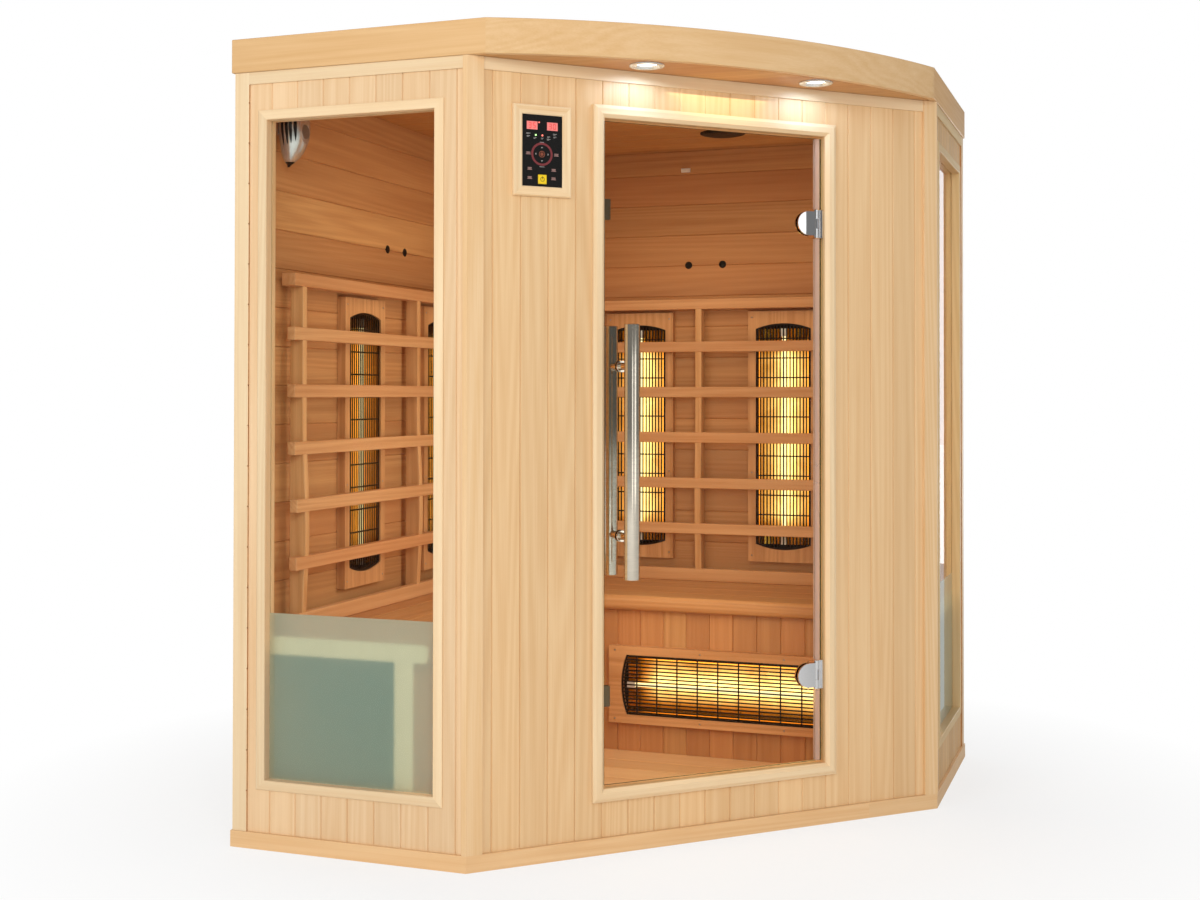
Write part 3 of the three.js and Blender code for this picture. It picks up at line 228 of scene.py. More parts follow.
def see_through(name, colour, rough=0.0, ior=1.45, cloud=0.0, veil=None, share=0.0, up_to=None):
    """Glass that lets lamp light pass to what stands behind it.

    A veil is a milky share that scatters light back; up_to is the height that the veil and the roughness reach.
    Above it the pane mirrors little, like the rest of the clear glass.
    """
    g = Graph(name)
    level = rough
    if cloud:
        level = g.span(g.noise(g.coords(), 3.0, 3.0), 0.3, 0.7, rough, rough + cloud)
    g.set(Base_Color=srgb(colour), Roughness=level, IOR=ior, Transmission_Weight=1.0, Specular_IOR_Level=0.02)
    pane = g.shader.outputs[0]
    if veil:
        milk = g.add("ShaderNodeBsdfDiffuse", {"Color": srgb(veil)})
        pane = g.add("ShaderNodeMixShader", {0: share, 1: pane, 2: milk.outputs[0]}).outputs[0]
    if up_to:
        below = g.math("LESS_THAN", g.split(g.coords())[2], up_to)
        upper = g.add("ShaderNodeBsdfPrincipled", {"Base Color": srgb(colour), "Roughness": 0.0, "IOR": CLEAR_IOR,
                                                   "Transmission Weight": 1.0, "Specular IOR Level": 0.02})
        pane = g.add("ShaderNodeMixShader", {0: below, 1: upper.outputs[0], 2: pane}).outputs[0]
    clear = g.add("ShaderNodeBsdfTransparent", {"Color": srgb(colour)})
    rays = g.add("ShaderNodeLightPath").outputs
    passing = g.math("MAXIMUM", rays["Is Shadow Ray"], rays["Is Diffuse Ray"])
    mixed = g.add("ShaderNodeMixShader", {0: passing, 1: pane, 2: clear.outputs[0]})
    g.links.new(mixed.outputs[0], g.output.inputs[0])
    return g.material


def lit(name, colour, strength, base="101010"):
    """A lamp, light-emitting diode or display."""
    g = Graph(name)
    glow = g.noise(g.coords(), 60.0, 2.0)
    g.set(Base_Color=srgb(base), Roughness=0.35, Emission_Color=srgb(colour),
          Emission_Strength=g.span(glow, 0.2, 0.8, strength * 0.9, strength * 1.1))
    return g.material


def reflector(name, middle, shade_from, rim="e37f12", core="ffd97c"):
    """Gilded sheet with the tube's light painted on as emission: a painted glow, white-hot near the tube and amber at
    the rims, with painted shade at the ends.

    middle is the brightest line of the painted glow across the sheet, and beyond shade_from the sheet keeps painted
    shade from the frame's side.
    """
    g = Graph(name)
    vector = g.coords()
    x, y, z = g.split(vector)
    # painted glow, brightest along the line at middle
    near = g.span(g.math("ABSOLUTE", g.math("SUBTRACT", x, middle)), 0.0, 0.080, 1.0, 0.0)
    # painted shade towards the ends of the sheet
    ends = g.span(g.math("ABSOLUTE", z), 0.238, 0.298, 1.0, 0.02)
    # painted shade beyond shade_from
    shaded = g.span(x, shade_from, shade_from + 0.028, 1.0, 0.12)
    ripple = g.noise(vector, 14.0, 2.0, 0.5, 0.8)
    level = g.math("MULTIPLY", g.math("ADD", g.math("POWER", near, 1.5), 0.34), g.span(ripple, 0.3, 0.7, 0.8, 1.2))
    level = g.math("MULTIPLY", g.math("MULTIPLY", level, ends), shaded)
    # the base colour is the gilt; the emission is painted glow, since the sheet itself is no lamp
    g.set(Base_Color=g.mix(ripple, srgb("f2c14e"), srgb("d9962a")), Metallic=1.0, Roughness=g.span(ripple, 0.3, 0.7, 0.18, 0.3),
          Emission_Color=g.mix(g.span(level, 0.15, 1.1, 0.0, 1.0), srgb(rim), srgb(core)),
          Emission_Strength=g.math("MULTIPLY", level, 2.2))
    g.bump(ripple, 0.2, 0.001)
    return g.material


OUT, OUT_DARK = "eecb9b", "dfb37e"
TRIM, TRIM_DARK = "f3dab2", "e6c496"
IN, IN_DARK, IN_WARM = "d8a369", "b37a47", "ba7748"
WINDOW_X = -0.4505
WINDOW = (0.2175, 0.7725, 0.9335)

# One outer wood in copies per face, toned to how the lamps fall: outer_left is a touch lighter as painted light, and
# the right side's copies are darker as painted shade
outer_front = wood("outer_front", OUT, OUT_DARK, turn=-45, pitch=0.0682, start=0.0341, seed=1)
outer_left = wood("outer_left", "efcfa5", "e0b888", pitch=0.0682, start=WINDOW_X, seed=2)
outer_right_shaded = wood("outer_right_shaded", "dfb984", "cb9e66", across="y", pitch=0.0682, start=-WINDOW_X, seed=3, sheen=0.02, shine=0.2)
outer_floor = wood("outer_floor", OUT, OUT_DARK, along="x", across="y", pitch=0.095, seed=4, plinth=True, warm="d9a066")
post_wood = wood("post_wood", "edcca0", "dfb47d", seed=5, turn=-45)
batten_front = wood("batten_front", TRIM, TRIM_DARK, along="x", across="z", turn=-45, seed=6)
batten_left = wood("batten_left", TRIM, TRIM_DARK, along="x", across="z", seed=7)
# painted shade: the right side's batten is a darker copy of the trim wood
batten_right = wood("batten_right", "e6ca98", "d4b17c", along="y", across="z", seed=8, sheen=0.02, shine=0.3)
moulding_left = wood("moulding_left", TRIM, TRIM_DARK, seed=9, mitre=(WINDOW_X, WINDOW[2], WINDOW[0], WINDOW[1]))
# painted shade: the right window's moulding is a darker copy of the trim wood
moulding_right_shaded = wood("moulding_right", "e6ca98", "d4b17c", seed=10, turn=-90, sheen=0.02, shine=0.2,
                             mitre=(-WINDOW_X, WINDOW[2], WINDOW[0], WINDOW[1]))
moulding_door = wood("moulding_door", TRIM, TRIM_DARK, seed=11, turn=-45, mitre=(0.0, 0.928, 0.304, 0.778))
bezel_wood = wood("bezel_wood", TRIM, "e0b680", seed=12, turn=-45, mitre=(-0.4615, 1.617, 0.049, 0.0815))
# The fascia's three faces are lit and shaded copies of one wood: the front the lightest, painted shade on the left and
# more on the right
fascia_front = wood("fascia_front", "ecc796", "dcae74", along="x", across="z", turn=-45, seed=13, figure=0.09)
fascia_left_shaded = wood("fascia_left_shaded", "e7bf8b", "d7a86e", along="x", across="z", seed=31, figure=0.09)
fascia_right_shaded = wood("fascia_right_shaded", "e2ba88", "d1a26b", along="y", across="z", seed=32, figure=0.09)
ceiling_wood = wood("ceiling_wood", "daa868", "be854a", along="x", across="y", pitch=0.095, seed=14, warm=IN_WARM)
lining_right = wood("lining_right", IN, IN_DARK, along="x", across="z", pitch=0.095, start=0.0383, seed=15, warm=IN_WARM, spread=0.12)
lining_left = wood("lining_left", IN, IN_DARK, along="y", across="z", pitch=0.095, start=0.0383, seed=16, warm=IN_WARM, spread=0.12)
seat_right = wood("seat_right", IN, IN_DARK, along="x", across="y", pitch=0.112, start=0.262, seed=17, warm=IN_WARM)
seat_left = wood("seat_left", IN, IN_DARK, along="y", across="x", pitch=0.112, start=-0.262, seed=18, warm=IN_WARM)
bench_right = wood("bench_right", IN, IN_DARK, pitch=0.0682, start=-0.300, seed=19, warm=IN_WARM, spread=0.12)
bench_left = wood("bench_left", IN, IN_DARK, across="y", pitch=0.0682, start=-0.300, seed=20, warm=IN_WARM, spread=0.12)
heater_right = wood("heater_right", "dba56f", "b57c4a", seed=21)
heater_left = wood("heater_left", "dba56f", "b57c4a", across="y", seed=22)
heater_leg = wood("heater_leg", "dba56f", "b57c4a", along="x", across="z", seed=23)
slat_right = wood("slat_right", "e4b17d", "c48854", along="x", across="z", pitch=0.1393, start=0.583, seed=24, warm=IN_WARM)
slat_left = wood("slat_left", "e4b17d", "c48854", along="y", across="z", pitch=0.1393, start=0.583, seed=25, warm=IN_WARM)
back_post = wood("back_post", "e0ae78", "c0864f", seed=26)
plain_board = wood("plain_board", "d8c29a", "b99c6f", along="x", across="y", seed=27, rough=0.7, sheen=0.0)

# painted reflection: the steel's base colour is tinted warm for the warm wood that it mirrors
steel = metal("brushed_steel", "e4dac8", 0.14, stretch=(0.06, 0.06, 1.0), brushed=0.05)
chrome = metal("polished_chrome", "e9eaec", 0.07, brushed=0.01)
dark_sheet = metal("dark_sheet", "2b2520", 0.55, brushed=0.06, scale=160.0)
zinc = metal("zinc_sheet", "a9abac", 0.38, brushed=0.05, scale=220.0)
dull_steel = metal("dull_steel", "7d6a4a", 0.45, brushed=0.06, scale=260.0)
# Painted glow on the reflector sheets: on the wall heaters the bright line sits a little off the axis; the leg heater's
# sheet carries painted shade on its lower side; the left wall's sheets, seen from the side, take a more orange painted
# glow
gold = reflector("reflector_gold", 0.008, 0.090)
gold_leg = reflector("reflector_gold_leg", -0.010, 0.036)
gold_side = reflector("reflector_gold_side", 0.012, 0.090, "d0600a", "ff9d34")
tube_glow = lit("tube_glow", "ffe6a6", 1.6)
lamp_glow = lit("lamp_glow", "fffaf0", 5.0)
ceramic = plastic("ceramic", "e8e2d4", 0.5, sub="b8ac96")
black_coat = plastic("black_coat", "140d08", 0.38, grain=0.08, sub="20150d", shine=0.6)
black_gloss = plastic("black_gloss", "121110", 0.22, grain=0.01, sub="1d1a19")
black_rubber = plastic("black_rubber", "15130f", 0.6, grain=0.1, sub="241f1a")
yellow = plastic("yellow_key", "f3cf1d", 0.38, sub="b98d08")
speaker_mesh = plastic("speaker_mesh", "1a1816", 0.5, grain=0.1, sub="2a2725")
white = plastic("white_plastic", "f0eee8", 0.4, sub="c9c4b8")
silver = plastic("silver_paint", "e0e1de", 0.24, grain=0.03, metallic=0.8, sub="a2a3a2")
ioniser_face = plastic("ioniser_face", "94897f", 0.3, grain=0.03, metallic=0.5, sub="6d635a")
clear_glass = see_through("clear_glass", "f8fbf9", ior=CLEAR_IOR)
window_clear = see_through("window_glass", "f8fbf9", up_to=0.548)
frost = see_through("frosted_film", "fcfefb", rough=0.80, cloud=0.05, veil="b0d0b8", share=0.37, up_to=0.548)
seal_gel = see_through("clear_seal", "f0e2d8", rough=0.2, ior=1.15, cloud=0.1, veil="d9bfb2", share=0.35)
glass_edge = see_through("glass_edge", "5d7a66", rough=0.2, ior=CLEAR_IOR, cloud=0.1, veil="3c4a35", share=0.6)
red_panel = lit("display_panel", "ff8f88", 0.9, base="5a1512")
red_digit = lit("display_digit", "e01e1c", 1.0, base="5a1010")
red_dot = lit("red_diode", "ff7a6a", 2.2)
green_dot = lit("green_diode", "baff9a", 2.2)
print_grey = plastic("print_grey", "9a9692", 0.5, sub="77736f")
print_rose = plastic("print_rose", "b98f86", 0.5, sub="8d6a63")
print_red = plastic("print_red", "7d3235", 0.45, sub="5a2326")
print_brown = plastic("print_brown", "8c4a33", 0.45, sub="6a3524")
print_black = plastic("print_black", "2a2310", 0.5, sub="3b3218")

# CAD nodes keep their shape and take these materials
painted = {
    "front_wall": outer_front, "side_wall_left": outer_left, "side_wall_right": outer_right_shaded, "floor_base": outer_floor,
    "corner_post_left": post_wood, "corner_post_right": post_wood, "top_batten_front": batten_front,
    "top_batten_left": batten_left, "top_batten_right": batten_right, "window_moulding_left": moulding_left,
    "window_moulding_right": moulding_right_shaded, "door_moulding": moulding_door, "control_bezel": bezel_wood,
    "back_wall_left": lining_left, "back_wall_right": lining_right, "ceiling_panel": ceiling_wood,
    "bench_seat_left": seat_left, "bench_seat_right": seat_right, "bench_front_left": bench_left,
    "bench_front_right": bench_right, "roof_dust_cover": plain_board, "power_supply_box": zinc,
    "window_glass_left": window_clear, "window_glass_right": window_clear, "door_glass": clear_glass,
    "hinge_jamb_plate_upper": chrome, "hinge_jamb_plate_lower": chrome, "hinge_clamp_upper": chrome,
    "hinge_clamp_lower": chrome, "strike_plate_upper": dull_steel, "strike_plate_lower": dull_steel, "control_face": black_gloss,
    "power_key": yellow, "temperature_sensor": white,
}
for heater in HEATERS:
    painted[heater + "_frame"] = heater_leg if heater == "leg_heater" else heater_right if "right" in heater else heater_left
for name, material in painted.items():
    for slot in nodes[name].material_slots:
        slot.material = material


outer_back_right = wood("outer_back_right", TRIM, TRIM_DARK, pitch=0.095, seed=28)
outer_back_left = wood("outer_back_left", TRIM, TRIM_DARK, across="y", pitch=0.095, seed=29)
for name, material in (("back_wall_right", outer_back_right), ("back_wall_left", outer_back_left)):
    mesh = nodes[name].data
    mesh.materials.append(material)
    for face in mesh.polygons:
        x, y, z = face.center
        if y > HALF - 0.0005 or x < 0.0005 - HALF or x > INNER + 0.001 or y < -INNER - 0.001:
            face.material_index = len(mesh.materials) - 1

low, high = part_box("hinge_clamp_upper")
clamp_left = (low.x + low.y) * math.sqrt(0.5)
clamp_chrome = domed_chrome("clamp_chrome", clamp_left, 0.048)
for name in ("hinge_clamp_upper", "hinge_clamp_lower"):
    mesh = nodes[name].data
    mesh.materials.append(clamp_chrome)
    for face in mesh.polygons:
        if face.normal.x - face.normal.y > 1.34:
            face.material_index = len(mesh.materials) - 1

# painted light: the bench ends behind the window panes take a pale wood, standing in for the light that comes in
# through the windows
bench_ends_lit = wood("bench_ends_lit", "e2c69c", "cfae7e", seed=30, spread=0.0)
for name in ("bench_seat_left", "bench_front_left", "bench_seat_right", "bench_front_right"):
    mesh = nodes[name].data
    mesh.materials.append(bench_ends_lit)
    for face in mesh.polygons:
        x, y, z = face.center
        if y < 0.002 - INNER or x > INNER - 0.002:
            face.material_index = len(mesh.materials) - 1
for name, inward in (("window_glass_left", Vector((0, 1, 0))), ("window_glass_right", Vector((-1, 0, 0)))):
    mesh = nodes[name].data
    mesh.materials.append(frost)
    for face in mesh.polygons:
        if face.normal.dot(inward) > 0.5:
            face.material_index = len(mesh.materials) - 1
mesh = nodes["door_glass"].data
mesh.materials.append(glass_edge)
across = [corner.co.x + corner.co.y for corner in mesh.vertices]
height = [corner.co.z for corner in mesh.vertices]
for face in mesh.polygons:
    for values in (across, height):
        own = [values[index] for index in face.vertices]
        if max(own) < min(values) + 0.001 or min(own) > max(values) - 0.001:
            face.material_index = len(mesh.materials) - 1


def soften(name, width):
    """Breaks the sharp edges of a CAD node a little."""
    bevel = nodes[name].modifiers.new("edges", "BEVEL")
    bevel.width = width
    bevel.segments = 2
    bevel.limit_method = "ANGLE"
    bevel.angle_limit = math.radians(40)


for name in ("corner_post_left", "corner_post_right", "top_batten_front", "top_batten_left", "top_batten_right"):
    soften(name, 0.0012)
for name in ("door_moulding", "window_moulding_left", "window_moulding_right", "control_bezel"):
    soften(name, 0.0012)
for heater in HEATERS:
    soften(heater + "_frame", 0.002)
for place in ("upper", "lower"):
    soften("hinge_clamp_" + place, 0.0018)
    soften("hinge_jamb_plate_" + place, 0.0008)
    soften("strike_plate_" + place, 0.0004)

# Mesh helpers


def add_box(bm, low, high, index=0):
    corners = [bm.verts.new((x, y, z)) for x in (low[0], high[0]) for y in (low[1], high[1]) for z in (low[2], high[2])]
    for loop in ((0, 1, 3, 2), (4, 6, 7, 5), (0, 4, 5, 1), (2, 3, 7, 6), (0, 2, 6, 4), (1, 5, 7, 3)):
        bm.faces.new([corners[i] for i in loop]).material_index = index


def add_rings(bm, rings, index=0, closed=False):
    """Skins a row of rings of points; a ring of one point closes the end."""
    rows = [[bm.verts.new(point) for point in ring] for ring in rings]
    pairs = list(zip(rows, rows[1:])) + ([(rows[-1], rows[0])] if closed else [])
    steps = max(len(row) for row in rows)
    for number, (a, b) in enumerate(pairs):
        for k in range(steps):
            corners = [a[k % len(a)], a[(k + 1) % len(a)], b[(k + 1) % len(b)], b[k % len(b)]]
            unique = list(dict.fromkeys(corners))
            if len(unique) > 2:
                bm.faces.new(unique).material_index = index if isinstance(index, int) else index[number]


def add_lathe(bm, profile, steps, place=None, index=0):
    """Turns a profile of (radius, height) about z; index is one material, or one for each stretch of the profile."""
    place = place or Matrix()
    rings = []
    for radius, height in profile:
        count = 1 if radius == 0 else steps
        angles = [2 * math.pi * k / count for k in range(count)]
        rings.append([place @ Vector((radius * math.cos(a), radius * math.sin(a), height)) for a in angles])
    add_rings(bm, rings, index)


def add_sheet(bm, outer, inner, low, high, index=0):
    """A bent sheet: two rows of (x, y) points, drawn out from z low to z high."""
    count = len(outer)
    grid = {}
    for row, points in enumerate((outer, inner)):
        for end, z in enumerate((low, high)):
            for k, (x, y) in enumerate(points):
                grid[row, end, k] = bm.verts.new((x, y, z))
    faces = []
    for k in range(count - 1):
        faces += [[(row, 0, k), (row, 0, k + 1), (row, 1, k + 1), (row, 1, k)] for row in (0, 1)]
        faces += [[(0, end, k), (0, end, k + 1), (1, end, k + 1), (1, end, k)] for end in (0, 1)]
    faces += [[(0, 0, k), (0, 1, k), (1, 1, k), (1, 0, k)] for k in (0, count - 1)]
    for corners in faces:
        bm.faces.new([grid[c] for c in corners]).material_index = index


def add_prism(bm, outline, thick, place=None, index=0):
    """An outline in x and z, with the given range of y."""
    place = place or Matrix()
    rows = [[bm.verts.new(place @ Vector((x, y, z))) for x, z in outline] for y in thick]
    bm.faces.new(rows[0]).material_index = index
    bm.faces.new(list(reversed(rows[1]))).material_index = index
    count = len(outline)
    for k in range(count):
        bm.faces.new([rows[0][k], rows[1][k], rows[1][(k + 1) % count], rows[0][(k + 1) % count]]).material_index = index


def piece(name, bm, materials, body="cabin", place=None, replaces=(), sharp=None, bevel=0.0, mirror=False):
    """Turns a mesh into an object of the scene that rides on a body; mirror swaps the cabin's left and right."""
    if mirror:
        for vert in bm.verts:
            x, y, z = (place or Matrix()) @ vert.co
            vert.co = (-y, -x, z)
        place = None
    bmesh.ops.recalc_face_normals(bm, faces=bm.faces)
    mesh = bpy.data.meshes.new(name)
    bm.to_mesh(mesh)
    bm.free()
    for material in materials:
        mesh.materials.append(material)
    if sharp:
        mesh.shade_smooth()
        mesh.set_sharp_from_angle(angle=math.radians(sharp))
    thing = bpy.data.objects.new(name, mesh)
    bpy.context.scene.collection.objects.link(thing)
    thing.matrix_world = place or Matrix()
    if bevel:
        edges = thing.modifiers.new("edges", "BEVEL")
        edges.width = bevel
        edges.segments = 2
        edges.limit_method = "ANGLE"
        edges.angle_limit = math.radians(40)
    bpy.context.view_layer.update()
    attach(thing, body)
    if replaces:
        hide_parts(*replaces)
    return thing

# Heaters: bar grille and reflector with its tube, the reflector's glow painted on as emission, drawn upright with the
# wall at y = 0

OPENING_WIDTH, OPENING_LENGTH, ARCH = 0.170, 0.687, 0.016
ARCH_RADIUS = (OPENING_WIDTH ** 2 / 4 + ARCH ** 2) / (2 * ARCH)


def arch_reach(x, shrink=0.0):
    """Half length of the arched opening at a distance from its axis."""
    radius = ARCH_RADIUS - shrink
    return OPENING_LENGTH / 2 - ARCH_RADIUS + math.sqrt(radius ** 2 - x ** 2)


def arched_outline(shrink, steps=14):
    half = OPENING_WIDTH / 2 - shrink
    xs = [half - 2 * half * k / steps for k in range(steps + 1)]
    top = [(x, arch_reach(x, shrink)) for x in xs]
    return top + [(-x, -z) for x, z in top]


def heater_grille(heater):
    bm = bmesh.new()
    outer, inner = arched_outline(0.0006), arched_outline(0.0052)
    face, back = -0.0200, -0.0170
    loops = ((outer, face), (inner, face), (inner, back), (outer, back))
    add_rings(bm, [[(x, y, z) for x, z in outline] for outline, y in loops], closed=True)
    pitch, width = 0.0102, 0.0038
    for k in range(15):
        x = (k - 7) * pitch
        reach = arch_reach(abs(x) + width / 2, 0.0040)
        add_box(bm, (x - width / 2, face + 0.0002, -reach), (x + width / 2, back - 0.0002, reach))
    for k in range(11):
        z = (k - 5) * 0.0595
        add_box(bm, (-0.0825, face + 0.0006, z - 0.0019), (0.0825, back - 0.0006, z + 0.0019))
    return piece(heater + "_bars", bm, [black_coat], place=HEATERS[heater], replaces=[heater + "_grille"])


def heater_emitter(heater):
    bm = bmesh.new()
    add_prism(bm, arched_outline(0.002), (-0.0006, -0.0003), index=3)
    rim, flat = 0.0770, 0.028
    curve = []
    for k in range(9):
        t = k / 8 * math.pi / 2
        curve.append((-rim + (rim - flat) * (1 - math.cos(t)), -0.0167 + 0.0152 * math.sin(t)))
    outer = curve + [(-x, y) for x, y in reversed(curve)]
    inner = [(x * 0.985, y - 0.0004 if abs(x) < 0.068 else y) for x, y in outer]
    add_sheet(bm, outer, inner, -0.3275, 0.3275)
    tube = Matrix.Translation((0, -0.0105, 0))
    add_lathe(bm, [(0, -0.3055), (0.0055, -0.3055), (0.0055, 0.3055), (0, 0.3055)], 24, tube, index=1)
    for side in (-1, 1):
        add_box(bm, (-0.008, -0.0165, side * 0.3155 - 0.012), (0.008, -0.0021, side * 0.3155 + 0.012), 2)
    sheet = gold_leg if heater == "leg_heater" else gold_side if "left" in heater else gold
    return piece(heater + "_glow", bm, [sheet, tube_glow, ceramic, dark_sheet], place=HEATERS[heater],
                 replaces=[heater + "_emitter"], sharp=35)


def heater_screws(heater):
    bm = bmesh.new()
    for x in (-0.097, 0.097):
        for z in (-0.3620, -0.11, 0.13, 0.3620):
            place = Matrix.Translation((x, -0.0240, z)) @ Matrix.Rotation(math.pi / 2, 4, "X")
            add_lathe(bm, [(0, -0.0005), (0.0027, -0.0005), (0.0025, 0.0004), (0.0012, 0.0007), (0, 0.0002)], 12, place)
    return piece(heater + "_screws", bm, [zinc], place=HEATERS[heater], sharp=30)


for heater in HEATERS:
    heater_grille(heater)
    heater_emitter(heater)
    heater_screws(heater)

# Backrests: swelling posts, slats and rails as separate boards


def back_front(z):
    away = min(1.0, abs(z - 0.740) / 0.260)
    return 0.052 + 0.009 * (1 + math.cos(math.pi * away)) / 2


def backrest(side, slat_wood):
    bm = bmesh.new()
    low, high = 0.4923, 1.3405
    heights = [low + (high - low) * k / 36 for k in range(37)]
    outline = [(-back_front(z), z) for z in heights] + [(-0.016, high), (-0.016, low)]
    for x0, x1 in ((-0.640, -0.620), (-0.040, -0.020), (0.577, 0.597)):
        turn = Matrix.Translation((0, 0, 0)) @ Matrix.Rotation(math.pi / 2, 4, "Z")
        add_prism(bm, [(y, z) for y, z in outline], (-x0, -x1), turn, index=1)
    levels = [(0.6525 + 0.1393 * k, 0.032, 0.022) for k in range(5)]
    levels += [(1.3405, 0.031, 0.038), (0.5113, 0.038, 0.022)]
    for middle, height, depth in levels:
        face = -back_front(middle) - 0.002
        add_box(bm, (-0.6405, face, middle - height / 2), (0.6375, face + depth, middle + height / 2))
    return piece("backrest_boards_" + side, bm, [slat_wood, back_post], place=Matrix.Translation((0, INNER, 0)),
                 replaces=["backrest_" + side], bevel=0.0022, mirror=side == "left")


backrest("right", slat_right)
backrest("left", slat_left)

# Roof fascia with a smooth bow

ROOF_EDGE, ROOF_SIDE, ROOF_BOW = 0.761, 0.656, 0.115
ROOF_HIGH, COVER_LOW = 1.900, 1.876


def roof_outline(inset, steps=96):
    chord_half = math.sqrt(2) * (ROOF_EDGE - ROOF_SIDE / 2)
    bow = (chord_half ** 2 + ROOF_BOW ** 2) / (2 * ROOF_BOW)
    centre = ROOF_SIDE / math.sqrt(2) + ROOF_BOW - bow
    radius, half = bow - inset, ROOF_EDGE - inset
    shift = math.sqrt(2) * half
    ahead = (centre + shift + math.sqrt((centre + shift) ** 2 - 2 * (centre ** 2 + shift ** 2 - radius ** 2))) / 2
    reach = math.asin((shift - ahead) / radius)
    points = [(half, half), (-half, half), (-half, -half)]
    for k in range(steps + 1):
        angle = reach * (2 * k / steps - 1)
        ahead, across = centre + radius * math.cos(angle), radius * math.sin(angle)
        points.append(((across + ahead) / math.sqrt(2), (across - ahead) / math.sqrt(2)))
    return points


def roof_fascia():
    bm = bmesh.new()
    corners = ((0, SOFFIT), (0, ROOF_HIGH), (0.010, ROOF_HIGH), (0.010, COVER_LOW), (0.018, COVER_LOW), (0.018, SOFFIT))
    add_rings(bm, [[(x, y, z) for x, y in roof_outline(inset)] for inset, z in corners], closed=True)
    for face in bm.faces:
        longest = max(face.edges, key=lambda edge: edge.calc_length())
        run = (longest.verts[1].co - longest.verts[0].co).normalized()
        face.material_index = 1 if abs(run.x) > 0.99 else 2 if abs(run.y) > 0.99 else 0
    woods = [fascia_front, fascia_left_shaded, fascia_right_shaded]
    return piece("roof_fascia_bow", bm, woods, replaces=["roof_fascia"], sharp=30, bevel=0.0018)


roof_fascia()

# Handles


def add_bar(bm, radius, length, bevel, place, steps=48):
    half = length / 2
    ends = [(radius - bevel * (1 - math.sin(a)), half - bevel * (1 - math.cos(a))) for a in (0.0, 0.5, 1.0, math.pi / 2)]
    profile = [(r, -z) for r, z in ends] + [(r, z) for r, z in reversed(ends)]
    add_lathe(bm, [(0, -half)] + profile + [(0, half)], steps, place)


def handle(side, y, glass, stud):
    bm = bmesh.new()
    x, middle = -0.254, 0.930
    add_bar(bm, 0.018, 0.590, 0.00225, Matrix.Translation((x, y, middle)))
    inward = 1 if glass > y else -1
    for z in (middle - 0.198, middle + 0.198):
        axis = Matrix.Translation((x, glass, z)) @ Matrix.Rotation(inward * math.pi / 2, 4, "X")
        reach = abs(glass - y)
        profile = [(0, 0.0003), (0.0140, 0.0003), (0.0140, 0.0033), (0.0130, 0.0043), (0.0090, 0.0043), (0.0090, reach), (0, reach)]
        if stud:
            profile = [(0, -0.008), (0.006, -0.008), (0.006, 0.0003)] + profile[1:]
        add_lathe(bm, profile, 36, axis)
    return piece("handle_bar_" + side, bm, [steel], body="door", place=FRONT, replaces=["handle_" + side], sharp=30)


handle("outer", -0.049, 0.006, True)
handle("inner", 0.069, 0.014, False)

# Downlights, speakers, ioniser and plugs

DOWNLIGHTS = {"left": -0.230, "right": 0.230}
DOWNLIGHT_OUT = 0.076


def downlight(side):
    bm = bmesh.new()
    lens = 0.0264
    lens_rings = [(0, 0.0012), (lens * 0.5, 0.0017), (lens * 0.85, 0.0028)]
    trim = [(lens, 0.0035), (lens + 0.0035, -0.0030), (lens + 0.0045, -0.0035), (0.0392, -0.0035), (0.0405, -0.0028),
            (0.0410, -0.0017), (0.0410, -0.0003), (0.0330, -0.0003), (0.0330, 0.030), (0, 0.030)]
    add_lathe(bm, lens_rings + trim, 56, index=[1] * len(lens_rings) + [0] * (len(trim) - 1))
    place = FRONT @ Matrix.Translation((DOWNLIGHTS[side], -DOWNLIGHT_OUT, SOFFIT))
    return piece("downlight_ring_" + side, bm, [silver, lamp_glow], place=place, replaces=["downlight_" + side],
                 sharp=40)


def speaker(side):
    bm = bmesh.new()
    rings = [(0, -0.0100), (0.0186, -0.0098), (0.0357, -0.0090), (0.0464, -0.0079), (0.0552, -0.0060)]
    rim = [(0.0562, -0.0042), (0.0572, -0.0040), (0.0636, -0.0038), (0.0650, -0.0030), (0.0650, -0.0003), (0, -0.0003)]
    add_lathe(bm, rings + rim, 56, index=[1] * len(rings) + [0] * (len(rim) - 1))
    return piece("speaker_cover_" + side, bm, [black_rubber, speaker_mesh], place=Matrix.Translation((0.113, 0.425, SOFFIT)),
                 replaces=["speaker_" + side], sharp=40, mirror=side == "left")


